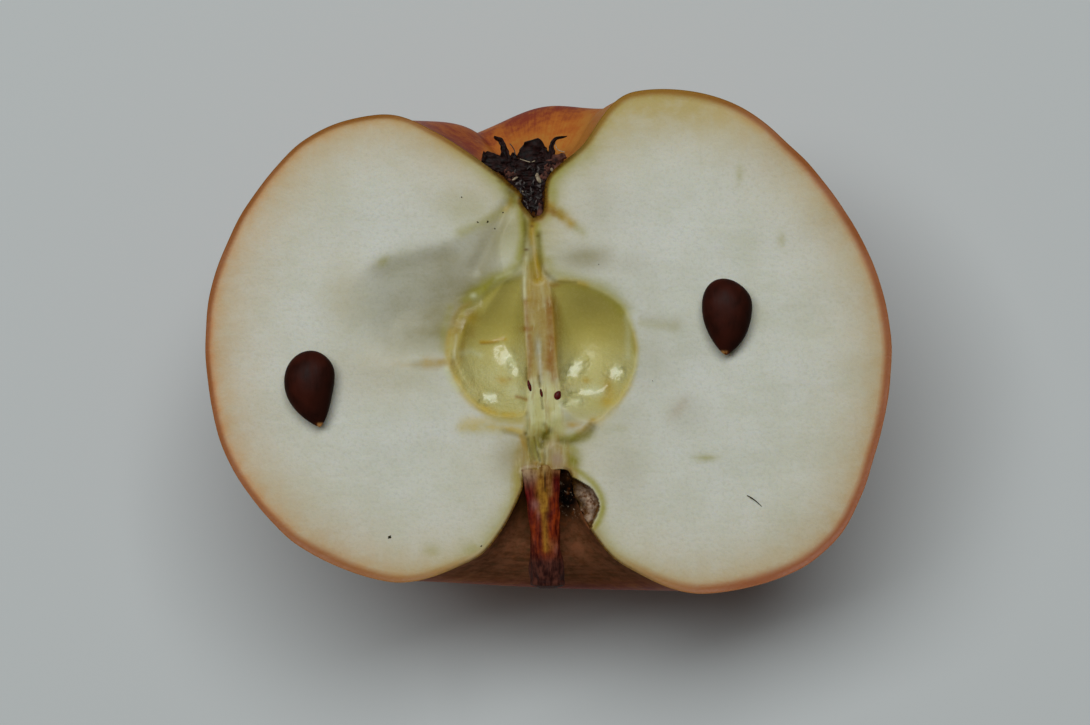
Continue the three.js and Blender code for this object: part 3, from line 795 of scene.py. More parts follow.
PALE_AND_HIGHLIGHT = dict(
    lines=[
        ([(-2.1, 9.6), (-2.25, 8.0), (-2.35, 6.4), (-2.3, 5.3)], 0.3, 0.55),
        ([(-0.4, 6.8), (-0.2, 5.4), (-0.1, 4.4)], 0.3, 0.25),
        ([(-1.35, -4.0), (-1.4, -4.8), (-1.5, -6.5), (-1.5, -8.6)], 0.35, 0.55),
        ([(0.3, -3.2), (0.3, -5.0), (0.2, -6.8), (0.1, -8.6)], 0.35, 0.45),
        ([(2.4, -6.3), (1.5, -7.2), (0.9, -8.2)], 0.5, 0.5),
        ([(-9.9, 1.1), (-10.05, -0.2), (-10.15, -1.4)], 0.2, 0.4),
        ([(-2.9, 8.6), (-4.2, 7.95), (-5.4, 7.5)], 0.24, 0.3),
        ([(-11.0, -2.7), (-10.5, -3.8), (-9.7, -5.0)], 0.4, 0.6),
        ([(-9.2, -0.9), (-8.2, -0.7), (-7.2, -1.1)], 0.4, 0.4),
        ([(9.1, 3.2), (9.3, 0.8), (9.2, -1.4)], 0.35, 0.4),
    ],
    # The blots at the chambers' flat wet spots and low on their walls are painted highlight; the rest is pale
    # tissue.
    blots=[
        (2.6, -6.7, 1.5, 0.6, 0.4), (3.7, -6.1, 0.9, 0.6, 0.6), (-8.0, 5.5, 0.4, 0.35, 0.7),
        (-4.2, 11.0, 1.2, 2.4, 0.3), (-2.6, -7.0, 0.8, 0.5, 0.3), (5.2, -5.1, 1.4, 0.6, 0.75),
        (-3.8, 13.9, 0.5, 1.0, 0.25), (3.4, -2.5, 0.7, 1.4, 0.85, -0.8), (-4.0, -1.9, 0.7, 1.5, 0.9, 0.54),
        (-6.1, -5.8, 0.8, 0.55, 0.9), (8.0, -3.0, 0.7, 0.8, 0.85), (-6.0, -3.2, 1.6, 1.2, 0.2),
        (-2.5, -5.2, 0.5, 0.5, 0.5), (3.0, -4.9, 1.2, 0.9, 0.45), (-3.4, -5.0, 1.0, 0.8, 0.35),
        (-8.0, -5.0, 0.9, 0.7, 0.3), (-9.6, -4.6, 0.4, 0.9, 0.4, 0.6), (1.4, -3.9, 0.6, 0.4, 0.4),
    ],
)
OLIVE = dict(
    lines=[
        ([(-2.5, 15.4), (-2.3, 14.0), (-2.2, 13.0), (-2.2, 12.0), (-2.35, 11.0)], 0.3, 0.6),
        ([(-2.35, 10.8), (-2.45, 9.8), (-2.8, 8.9), (-3.4, 8.2)], 0.28, 0.35),
        ([(-2.7, 7.95), (-4.0, 7.35), (-5.2, 6.75), (-6.2, 6.1), (-7.0, 5.3), (-7.8, 4.5)], 0.4, 0.3),
        ([(-0.65, 12.4), (-0.65, 10.6), (-0.5, 9.4), (-0.1, 8.2), (0.5, 7.6), (1.1, 7.15)], 0.34, 0.55),
        ([(1.0, 7.1), (2.0, 7.05), (3.4, 7.0)], 0.2, 0.5),
        ([(-8.4, 4.4), (-9.3, 4.2), (-9.9, 3.3), (-10.4, 2.1)], 0.35, 0.4),
        ([(-1.2, -10.3), (-0.95, -11.5), (-0.55, -13.0)], 0.17, 0.9),
        ([(-1.9, -10.5), (-1.75, -11.5), (-1.2, -12.8)], 0.3, 0.7),
        ([(0.5, -9.5), (-0.1, -10.2), (-0.45, -11.3)], 0.42, 0.95),
        ([(-1.6, -12.6), (-1.2, -13.9)], 0.35, 0.6),
        ([(0.0, -11.5), (-0.1, -13.9)], 0.25, 0.7),
        ([(-2.3, -14.0), (-0.9, -13.85), (1.2, -13.85), (2.2, -14.0)], 0.22, 0.1),
        ([(-0.1, -8.9), (0.4, -9.6)], 0.3, 0.6),
        ([(5.1, -8.9), (4.4, -9.7), (3.4, -10.3)], 0.34, 0.6),
        ([(1.7, -10.7), (3.0, -10.7), (4.6, -10.0), (5.3, -9.2)], 0.5, 0.7),
        ([(-0.68, -3.5), (-0.55, -4.7)], 0.13, 0.9),
        ([(-0.4, -5.9), (-0.25, -7.1)], 0.13, 0.7),
        ([(-2.15, -2.6), (-2.05, -4.0)], 0.17, 0.6),
        ([(-1.95, -7.6), (-1.9, -8.8), (-2.0, -9.6)], 0.2, 0.4),
        ([(-4.6, -9.6), (-3.2, -10.0), (-2.0, -10.3)], 0.35, 0.35),
        ([(0.6, 15.3), (1.8, 14.4)], 0.5, 0.3),
    ],
    blots=[
        (-3.7, 17.4, 0.8, 1.8, 1.0, 0.35), (-2.15, -9.9, 0.25, 0.3, 0.9), (4.4, 4.2, 3.0, 1.8, 0.2),
        (-8.3, 4.2, 1.5, 1.3, 0.45, 0.6), (-9.2, 2.2, 1.0, 1.6, 0.4), (-1.4, -11.6, 0.9, 1.3, 0.55),
        (3.2, -13.0, 0.8, 1.1, 0.35), (0.4, -12.0, 0.5, 0.6, 0.5), (-0.6, -13.4, 0.8, 0.5, 0.5),
        (1.5, -8.7, 1.2, 0.6, 0.15), (0.1, -10.3, 0.5, 0.6, 0.8), (3.4, -10.5, 0.9, 0.4, 0.35, 0.3),
        (-0.4, -10.6, 0.7, 0.8, 0.6), (1.7, -1.6, 0.3, 1.6, 0.35),
    ],
)
SHADE = dict(
    lines=[
        ([(-18.4, 8.6), (-14.6, 10.0), (-11.5, 10.6)], 1.5, 0.27),
        ([(-18.0, -2.15), (-14.6, -2.2)], 0.6, 0.16),
        ([(-14.6, -2.2), (-11.4, -2.1)], 0.6, 0.5),
        ([(11.2, 3.0), (12.6, 2.6), (14.6, 2.2)], 1.0, 0.3),
    ],
    blots=[
        (4.4, 9.7, 3.2, 1.4, 0.75), (9.4, 9.2, 3.0, 1.6, 0.2), (-4.7, 12.6, 1.6, 2.6, 0.6, -0.35),
        (2.6, -8.0, 1.6, 0.8, 0.3), (-8.2, 5.6, 1.6, 1.2, 0.35, 0.6), (9.0, -14.5, 2.6, 3.0, 0.24),
        (11.5, -0.5, 2.6, 6.0, 0.2), (15.5, 0.5, 2.6, 2.6, 0.1), (-4.2, -12.6, 1.8, 2.6, 0.4),
        (-18.0, -2.8, 6.5, 3.6, 0.15), (-22.6, 5.5, 2.4, 4.8, 0.14), (6.0, 16.0, 2.6, 3.4, 0.14),
        (-8.6, 16.4, 3.4, 2.4, 0.12), (9.5, -7.5, 2.6, 2.4, 0.12), (16.0, -7.6, 3.0, 2.6, 0.2),
        (-12.2, 4.0, 1.4, 3.0, 0.1),
    ],
)
GREY = dict(lines=[([(-0.6, -1.6), (-0.5, -4.2)], 0.3, 0.7)], blots=[(-0.75, -0.4, 0.45, 1.4, 0.9, 0.05)])
ROSE = dict(
    blots=[
        (1.4, -12.9, 0.9, 1.2, 1.0, 0.35), (-2.1, -13.9, 0.8, 0.9, 0.8), (2.2, -14.1, 0.7, 0.6, 0.6),
        (0.7, -11.4, 0.6, 0.8, 0.4), (-2.9, -12.4, 1.3, 1.6, 0.35),
    ],
)
# Darker beige left of the dish and below it, laid with two shade blots at the same places: it spreads the
# dish's painted shade.
STRAW = dict(blots=[(-18.0, -2.8, 6.5, 3.8, 0.3), (-22.4, 5.8, 2.6, 5.2, 0.28)])
BROWN = dict(
    blots=[(-2.1, 10.65, 0.28, 0.15, 0.8), (-1.5, 13.3, 0.25, 0.2, 0.7), (-0.8, 12.2, 0.2, 0.15, 0.5)],
)
FLAKE = dict(  # of dry skin, in the pocket
    blots=[
        (5.1, -17.4, 0.75, 1.6, 1.0), (4.3, -16.6, 0.6, 0.9, 0.9, 0.4), (4.1, -18.6, 0.6, 0.4, 1.0, -0.5),
        (5.0, -19.2, 0.5, 0.7, 0.8), (2.4, -15.9, 0.5, 0.3, 0.8, -0.4),
    ],
)
BLACK = dict(blots=[(2.3, -17.0, 1.0, 2.2, 1.0), (3.5, -17.7, 0.7, 1.0, 1.0), (4.3, -17.8, 0.35, 0.6, 0.8)])
MATT = dict(
    lines=[([(-9.6, 4.0), (-10.1, 1.0), (-10.3, -1.0), (-9.9, -3.4)], 0.9, 0.85)],
    blots=[
        (5.4, -1.6, 0.9, 1.6, 0.8), (-5.6, -3.4, 0.8, 0.9, 0.6), (4.0, 3.5, 3.0, 2.5, 0.6),
        (-5.0, 3.8, 2.5, 2.2, 0.5),
    ],
)
CUT_STROKES = {
    "green": GREEN, "gold": GOLD, "amber": AMBER, "rust": RUST, "pale": PALE_AND_HIGHLIGHT, "olive": OLIVE, "shade": SHADE,
    "grey": GREY, "rose": ROSE, "straw": STRAW, "brown": BROWN, "fuzz": FLAKE,
}
# Both sides of the strip of core tissue, each as y and x.
STRIP_LEFT = [
    (-14.4, -3.6), (-12.0, -3.3), (-10.4, -2.6), (-8.0, -1.95), (-5.0, -1.95), (-2.0, -2.05), (2.0, -2.2),
    (6.0, -2.45), (9.8, -2.5),
]
STRIP_RIGHT = [
    (-14.4, 3.4), (-12.0, 2.8), (-10.4, 2.2), (-8.0, 1.8), (-6.0, 1.5), (-4.0, 1.2), (-2.0, 1.3), (1.0, 1.5),
    (4.0, 1.4), (6.0, 0.7), (8.0, -0.1), (9.8, -0.8),
]


def core_strip(x, y):
    """1 on the strip of core tissue between the two chambers."""
    left, right = (np.interp(y, *zip(*edge)) for edge in (STRIP_LEFT, STRIP_RIGHT))
    across = smooth(x, left - 0.5, left + 0.5) * smooth(-x, -right - 0.8, -right + 0.4)
    return across * smooth(y, 11.0, 9.0)


def cut_masks(xy, chamber, dish, pocket, rim):
    """The masks that colour the cut face. rim is each point's distance from the skin."""
    x, y = xy.T
    red = redness(xy)
    stalk_end = np.clip(1.4 * fade(np.hypot(x - 0.5, y + 20), 12.5), 0, 1)
    calyx_end = np.clip(1.3 * fade(np.hypot(x + 1.5, y - 19.5), 6.5), 0, 1)
    away = 1 - np.maximum(stalk_end, calyx_end)
    crown = blot(xy, 14, 27.5, 11, 4.5)
    off_foot = 1 - smooth(blot(xy, -0.4, -14.1, 2.9, 1.1), 0.2, 0.6)
    strip = core_strip(x, y)
    low_tissue = smooth(-y, 8.6, 10.4)
    chamber = chamber * (1 - smooth(x, 0.5, 2.0) * smooth(-y, 5.5, 8.5) * 0.7)

    masks = {name: strokes(xy, **its_strokes) for name, its_strokes in CUT_STROKES.items()}
    masks["redness"] = red * away
    line_width = round_the_cut(xy, SKIN_LINE)
    masks["edge"] = smooth(-rim / line_width, -1.9, -0.6) * (0.3 + 0.7 * away) * off_foot
    pink = fade(rim, 0.8) + np.exp(-rim / 2.6) * (0.3 + 0.25 * smooth(-x, -10, 25))
    masks["pinkish"] = pink * masks["redness"]
    masks["yellow"] = 0.9 * fade(rim, 0.9) * (1 - red) * away + 0.16 * crown
    masks["straw"] += np.exp(-rim / 3.5) * (0.5 + 0.5 * away) + 0.5 * crown
    rim_green = np.maximum(0.6 * fade(rim, 1.3) * stalk_end, fade(rim, 1.7) * calyx_end)
    masks["green"] = np.maximum(masks["green"], rim_green)
    masks["shade"] += dish * (0.9 - 0.55 * smooth(-x, 10, 20) - 0.25 * smooth(x, -12, -8))
    masks["shade"] += 0.3 * np.exp(-rim / 2.4) * round_the_cut(xy, RIM_SHADE) * away
    masks["shade"] -= blot(xy, -12.8, 5.6, 2.8, 1.9, 0.26)
    masks["chamber"] = chamber
    # Painted light: each chamber lighter in its lower half, where the lamp falls on it.
    masks["painted_chamber_light"] = chamber * smooth(-y, -2.4, 2.6)
    masks["crinkle"] = chamber * smooth(-y, -1.5, 3.5)
    masks["wet"] = np.maximum(smooth(chamber, 0.8, 1.0) * (1 - strokes(xy, **MATT)), 0.1 * strip)
    masks["tan"] = strip * np.maximum(smooth(y, -6.5, -3.0), low_tissue * 0.8)
    masks["cream"] = strip * smooth(-y, 2.5, 5.5) * (1 - low_tissue) * 0.95
    masks["fibres"] = strip * 0.9
    cavity_edge = np.maximum(smooth(rim, 0.4, 0.1) * stalk_end, smooth(rim, 0.6, 0.15) * calyx_end)
    masks["brown"] = np.maximum.reduce([masks["brown"], pocket, cavity_edge * off_foot * 0.95])
    masks["dark"] = pocket * strokes(xy, **BLACK) * (1 - masks["fuzz"])
    masks["fuzz"] *= smooth(pocket, 0.5, 0.9)
    return masks


def from_middle_line(points):
    """Distance from the line x = z = 0."""
    return np.hypot(points[..., 0], points[..., 2])


def skin_grid():
    """Rows of the skin's points from stalk to calyx, each from the cut's right side round to its left."""
    steps = np.linspace(0, 1, 4000)
    profile = skin_points(np.zeros(len(steps)), steps)
    length = np.concatenate([[0], np.cumsum(np.linalg.norm(np.diff(profile, axis=0), axis=1))])
    share = np.interp(np.linspace(0, length[-1], ROWS), length, steps)
    grid = skin_points(*np.meshgrid(SKIN_ANGLES, share))
    outward = grid - BUMPS_FROM
    outward /= np.linalg.norm(outward, axis=-1)[..., None]
    bumps = 0.12 * ripple(grid, 13, 11) + 0.05 * ripple(grid, 5, 12)
    grid = grid + outward * (bumps * smooth(from_middle_line(grid), 18, 30))[..., None]
    grid[:, [0, -1], 2] = 0
    grid[[0, -1], :, :] = grid[[0, -1], :1, :]
    top = -pocket_depth(grid[..., :2].reshape(-1, 2)).reshape(grid.shape[:2])
    grid[..., 2] = np.clip(grid[..., 2], -REST_HEIGHT, top)
    return grid


def points_in_the_cut(loop, closed):
    """Points for the cut face inside its outline: fine at the core, and in rings along the rim."""
    ways = np.roll(loop, -1, axis=0) - np.roll(loop, 1, axis=0)
    inward = np.stack([-ways[:, 1], ways[:, 0]], 1) / (np.linalg.norm(ways, axis=1)[:, None] + 1e-9)
    fine, coarse = (hex_grid(spacing, loop.min(0), loop.max(0)) for spacing in (FINE, COARSE))
    inner = np.concatenate([fine[near_core(fine)], coarse[~near_core(coarse)]])
    inner = inner[inside(inner, loop)]
    room = np.where(near_core(inner), FINE, RIM_RINGS[-1] + 0.2)
    parts = [inner[distance_to_path(inner, closed) > room]]
    for step in RIM_RINGS:
        ring = loop + inward * step
        clear = distance_to_path(ring, closed) > 0.93 * step
        parts.append(ring[inside(ring, loop) & clear & ~near_core(ring)])
    return np.concatenate(parts)


def cut_face(loop):
    """The cut face inside its outline: points, triangles, masks, and where each point of the outline went."""
    closed = np.concatenate([loop, loop[:1]])
    given = np.concatenate([loop, points_in_the_cut(loop, closed)])
    edges = [(i, (i + 1) % len(loop)) for i in range(len(loop))]
    flat, _, triangles, origin, _, _ = delaunay_2d_cdt([Vector(p) for p in given], edges, [], 1, 1e-7)
    xy = np.array([tuple(p) for p in flat])
    place = {sources[0]: i for i, sources in enumerate(origin) if sources and sources[0] < len(loop)}

    rim = distance_to_path(xy, closed)
    height, chamber, dish = relief(xy)
    pocket = pocket_depth(xy)
    masks = cut_masks(xy, chamber, dish, smooth(pocket, 0.0, 0.5), rim)
    height = height + 0.07 * masks["pale"] + 0.05 * masks["gold"] - 0.06 * masks["olive"]
    height = np.minimum(height * smooth(rim, 0, 0.5), 0.3)
    height[list(place.values())] = 0
    return np.column_stack([xy, np.minimum(height, -pocket)]), triangles, masks, place


def skin_masks(grid):
    """The masks that colour the skin."""
    x, y, z = np.moveaxis(grid, -1, 0)
    out = from_middle_line(grid)
    at_stalk, at_calyx = y < 0, y > 0
    in_basin = at_calyx * smooth(out, 20, 12)
    rim_red = 0.95 * smooth(out, 5.5, 13) * smooth(-x, -9, -3) + 0.4 * smooth(-x, 6, 9)
    rim_red = rim_red - 0.3 * smooth(x, 2.5, 5) - blot(grid, -5, 24, 1.8, 1.8, 0.6)
    to_right = (1 + np.cos(SKIN_ANGLES)) / 2
    right_red, left_red = (redness(grid[:, side, :2])[:, None] for side in (0, -1))
    red = to_right * right_red + (1 - to_right) * left_red
    from_tube = np.hypot(x - core_x(y), z)
    tube_wall = at_calyx * smooth(from_tube, 4.4, 2.6) * smooth(21.0 - y, 0, 1.2)
    return {
        "around": np.broadcast_to(SKIN_ANGLES / math.pi, (ROWS, COLUMNS)),
        "along": np.broadcast_to(np.linspace(0, 1, ROWS)[:, None], (ROWS, COLUMNS)),
        "redness": red * (1 - in_basin) + in_basin * (0.22 + rim_red),
        "basin": in_basin,
        "russet": at_stalk * smooth(out, 17, 10) + tube_wall,
        # painted shade: darker deep in the stalk's hollow, on its right wall and inside the calyx tube
        "hollow_shade": at_stalk * (smooth(out, 6.0, 2.8) + 0.35 * smooth(x, 2, 6)) + 2 * tube_wall,
        "black": blot(grid, 2.6, -16.8, 1.7, 2.4, 1.2),
    }


def apple_body():
    """The flesh and skin, as one closed mesh: the cut face and the skin share the outline's points."""
    grid = skin_grid()
    loop = np.concatenate([grid[:, 0, :2], grid[-2:0:-1, -1, :2]])
    cut, triangles, masks, place = cut_face(loop)

    points = [tuple(p) for p in cut]
    index = np.zeros((ROWS, COLUMNS), int)
    for i in range(ROWS):
        for j in range(COLUMNS):
            if i in (0, ROWS - 1) or j == 0:
                index[i, j] = place[i]
            elif j == COLUMNS - 1:
                index[i, j] = place[len(loop) - i]
            else:
                index[i, j] = len(points)
                points.append(tuple(grid[i, j]))
    faces = [tuple(t) for t in triangles]
    for i in range(ROWS - 1):
        for j in range(COLUMNS - 1):
            quad = [index[i, j], index[i + 1, j], index[i + 1, j + 1], index[i, j + 1]]
            quad = [v for k, v in enumerate(quad) if v != quad[k - 1]]
            if len(quad) > 2:
                faces.append(tuple(quad))

    on_skin = np.zeros(len(points) - len(cut))
    masks = {name: np.concatenate([values, on_skin]) for name, values in masks.items()}
    index = index.ravel()
    for name, values in skin_masks(grid).items():
        mask = masks.setdefault(name, np.zeros(len(points)))
        own = index >= (len(cut) if name == "redness" else 0)  # the outline keeps the cut face's redness
        mask[index[own]] = values.ravel()[own]
    which = [0] * len(triangles) + [1] * (len(faces) - len(triangles))
    materials = [flesh_material(), skin_material()]
    body = make_piece("apple_flesh_and_skin", points, faces, materials, "flesh", masks, which)
    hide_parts("apple_half")


# ---------------------------------------------------------------- stalk

STALK_STROKES = {
    "wine": dict(
        blots=[
            (-1.9, -16.7, 0.75, 1.5, 1.0), (-1.5, -18.6, 0.4, 1.4, 0.8), (1.3, -15.4, 0.55, 1.5, 0.9),
            (-0.75, -20.2, 0.25, 1.6, 0.6),
        ],
    ),
    "rust": dict(
        blots=[
            (1.1, -18.6, 0.75, 2.1, 1.0), (-1.1, -21.0, 0.45, 2.0, 0.8), (0.3, -22.4, 1.4, 1.2, 0.8),
            (0.6, -20.6, 0.9, 1.4, 0.9),
        ],
    ),
    "tan": dict(lines=[([(0.5, -13.6), (0.5, -16.6)], 0.3, 0.9)], blots=[(0.6, -22.4, 0.6, 0.7, 0.35)]),
    "pith": dict(
        lines=[
            ([(-0.5, -13.4), (-0.4, -16.4), (-0.2, -18.4)], 0.5, 1.0),
            ([(0.1, -16.0), (0.15, -18.4)], 0.22, 1.0),
            ([(-0.15, -18.0), (0.0, -20.4), (0.1, -22.8)], 0.32, 0.75),
        ],
    ),
    # painted sheen, lilac, on the wine-red stalk
    "lilac_sheen": dict(
        blots=[
            (-1.1, -17.8, 0.45, 0.55, 0.9), (-0.75, -18.8, 0.2, 0.8, 0.5), (1.4, -22.8, 0.4, 0.7, 0.5),
            (-1.4, -22.6, 0.3, 0.9, 0.4),
        ],
    ),
    "pale": dict(blots=[(-2.3, -13.9, 1.0, 1.3, 1.0, 0.5), (-1.2, -14.4, 0.4, 0.8, 0.6)]),
    "slit": dict(lines=[([(-0.02, -14.0), (-0.02, -16.3)], 0.1, 0.9)]),
}
STALK_LIP = [  # x, y: where the split stalk's foot goes under the flesh
    (-2.4, -14.0), (-1.6, -13.9), (-0.9, -13.75), (-0.4, -13.5), (0.2, -13.5), (0.7, -13.7), (1.2, -13.95),
    (1.9, -14.0),
]


def stalk_piece():
    """The stalk: the cut has split its foot, whose upper side is flat there, and its free end is whole."""
    rows, columns = 120, 72
    along, turn = ring_grid(rows, columns)
    straight = STALK_RADII["foot"] + (STALK_RADII["end"] - STALK_RADII["foot"]) * along
    radius = straight + (STALK_RADII["waist"] - straight) * np.sin(math.pi * along)
    radius = radius * (1 + 0.05 * np.cos(5 * math.pi * along) * along)
    lumps = ripple(round_places(turn, 8 * along), 1.6, 21)
    ribs = 0.03 * np.cos(11 * turn + 3 * along) * smooth(along, 0.6, 0.8)
    collar = 0.05 * smooth(along, 0.93, 0.95) - 0.08 * smooth(along, 0.965, 0.99)
    radius = radius * (1 + 0.03 * lumps + ribs + collar)
    radius = radius * np.sqrt(np.clip(1 - 0.7 * smooth(along, 0.975, 1.0), 0, 1))
    foot, end = STALK["foot"], STALK["end"]
    x = foot[0] + (end[0] - foot[0]) * along + np.cos(turn) * radius
    y = foot[1] + (end[1] - foot[1]) * along + 0 * turn
    z = np.sin(turn) * radius - STALK["dip"] * along**1.5
    lateral = np.cos(turn) + 0 * along
    fibres = np.abs(ripple(np.stack([x, y * 0.22], -1), 0.7, 22))
    y = y + smooth(-along, -0.08, 0)
    lip = np.interp(x, *zip(*STALK_LIP)) + 0.12 * ripple(np.stack([x, 0 * x], -1), 0.5, 23)
    sunk = 0.7 * smooth(y - lip, 0, 0.45)
    torn = 0.03 - (0.13 + 0.32 * lateral**4 + 0.12 * fibres) * smooth(-y, 13.9, 15.4) - sunk
    split = z > torn
    points = np.stack([x, y, np.where(split, torn, z)], -1).reshape(-1, 3)
    xy = points[:, :2]
    cut = np.where(split, 1.0, 0.25).ravel()
    masks = {name: strokes(xy, **its_strokes) * cut for name, its_strokes in STALK_STROKES.items()}
    masks["end"] = smooth(-xy[:, 1], 22.8, 24.4)
    between = smooth(-xy[:, 0], -1.0, 0.2) * smooth(xy[:, 0], -2.0, -1.0)
    masks["faded"] = smooth(xy[:, 1], -15.0, -13.6) * (0.4 + 0.55 * between)
    faces = turned(tube_faces(rows, columns))
    piece = make_piece("stalk_split", points, faces, [stalk_material()], "stalk", masks)
    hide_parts("stalk")


# ---------------------------------------------------------------- calyx

LEAF_THICK = 0.16
SEPALS = [  # path, width at each of its knots, roll of the edges, seed
    ([(-1.5, 20.4, -2.5), (-1.4, 21.3, -2.7), (-1.35, 22.2, -2.8), (-1.5, 23.0, -2.4)],
     (3.0, 3.3, 2.9, 1.5), 0.3, 41),
    ([(-0.3, 20.6, -2.2), (-0.1, 21.4, -2.3), (-0.2, 22.3, -2.2)], (1.6, 1.3, 0.5), 0.3, 42),
    ([(-4.2, 20.2, -1.3), (-4.5, 21.4, -1.4), (-4.65, 22.3, -1.5), (-5.0, 23.0, -1.5), (-5.7, 23.35, -1.3)],
     (1.5, 1.1, 0.75, 0.6, 0.25), 0.3, 44),
    ([(-3.9, 19.5, -0.6), (-5.0, 20.2, -0.8), (-6.1, 20.8, -0.8), (-7.0, 21.0, -0.6)],
     (1.4, 1.8, 1.7, 1.2), 0.3, 45),
    ([(-3.4, 19.0, -0.4), (-4.6, 19.7, -0.5), (-5.8, 20.0, -0.5), (-7.1, 20.2, -0.5)],
     (0.8, 0.9, 0.9, 0.5), 0.3, 48),
    ([(-3.2, 20.0, -1.2), (-3.5, 20.8, -1.3), (-3.5, 21.6, -1.3)], (1.4, 1.2, 0.4), 0.3, 49),
    ([(0.7, 20.6, -0.9), (0.75, 21.6, -1.1), (0.75, 22.4, -1.2), (1.2, 23.1, -1.2), (2.45, 23.4, -1.0)],
     (1.1, 0.75, 0.55, 0.4, 0.1), 0.6, 46),
]
LINING = [
    ([(0.1, 19.2, -0.5), (0.9, 20.2, -0.6), (1.6, 20.9, -0.6), (2.3, 21.2, -0.5)],
     (1.5, 1.7, 1.1, 0.5), 0.3, 51),
    ([(-0.4, 18.4, -0.4), (0.1, 19.4, -0.45), (0.6, 20.2, -0.45)], (0.7, 1.2, 0.9), 0.3, 52),
    ([(-3.3, 18.4, -0.35), (-3.8, 19.1, -0.4), (-4.4, 19.7, -0.4)], (0.7, 1.3, 0.8), 0.3, 53),
]
PLUG_Y = (14.5, 15.0, 16.0, 17.0, 18.0, 19.0, 20.6)
PLUG_RADIUS = (0.75, 1.25, 1.5, 1.75, 2.1, 2.5, 3.0)
PLUG_MIDDLE = (-1.15, -1.2, -1.38, -1.55, -1.85, -1.9, -1.9)
THREADS = 46  # bits of old stamens on the plug


def leaf(path, widths, roll, seed):
    """A dry scale along a path: it has a width at each knot of the path, rolled edges and a crumpled face."""
    rows, columns = 30, 11
    share = np.linspace(0, 1, rows)
    spine = spline(path, share)
    half = spline([(w / 2,) for w in widths], share)[:, 0]
    ways = np.gradient(spine, axis=0)
    ways /= np.linalg.norm(ways, axis=1)[:, None]
    aside = np.cross(ways, (0.0, 0.0, 1.0))
    aside /= np.linalg.norm(aside, axis=1)[:, None] + 1e-9
    face = np.cross(aside, ways)
    across = np.linspace(-1, 1, columns)
    notch = 1 + 0.14 * ripple(np.stack(np.meshgrid(across * 2, share * 6), -1), 1.3, seed)
    lift = -roll * across[None, :] ** 2 * half[:, None]
    crumple = 0.14 * ripple(np.stack(np.meshgrid(across * 1.5, share * 4), -1), 1.3, seed + 1)
    front = spine[:, None] + aside[:, None] * (across[None, :] * half[:, None] * notch)[..., None]
    front = front + face[:, None] * (lift + crumple)[..., None]
    back = front - face[:, None] * LEAF_THICK
    points = np.concatenate([front.reshape(-1, 3), back.reshape(-1, 3)])
    points[:, 2] = np.minimum(points[:, 2], -0.02)
    count = rows * columns
    faces = grid_faces(rows, columns)
    faces += [tuple(count + v for v in face) for face in turned(faces)]
    border = list(range(columns)) + [i * columns + columns - 1 for i in range(1, rows)]
    border += [(rows - 1) * columns + j for j in range(columns - 2, -1, -1)]
    border += [i * columns for i in range(rows - 2, 0, -1)]
    for a, b in zip(border, border[1:] + border[:1]):
        faces.append((b, a, count + a, count + b))
    return points, faces


def thread(knots, count, radius):
    """A thin tube through the knots."""
    return tube(spline(knots, np.linspace(0, 1, count)), radius)


def calyx_plug():
    rows, columns = 70, 64
    along, turn = ring_grid(rows, columns)
    y = PLUG_Y[0] + (PLUG_Y[-1] - PLUG_Y[0]) * along + 0 * turn
    radius = np.interp(y, PLUG_Y, PLUG_RADIUS) * (1 + 0.07 * ripple(round_places(turn, 6 * along), 1.2, 31))
    x = np.interp(y, PLUG_Y, PLUG_MIDDLE) + radius * np.cos(turn)
    xy = np.stack([x, y], -1)
    lumps = np.abs(ripple(xy, 0.9, 32)) + 0.5 * np.abs(ripple(xy, 0.4, 33))
    z = np.minimum(radius * np.sin(turn), -0.25 - 0.4 * lumps)
    return np.stack([x, y, z], -1).reshape(-1, 3), turned(tube_faces(rows, columns))


def joined_piece(name, parts, material, slot="calyx"):
    return make_piece(name, *join_parts(parts), [material], slot)


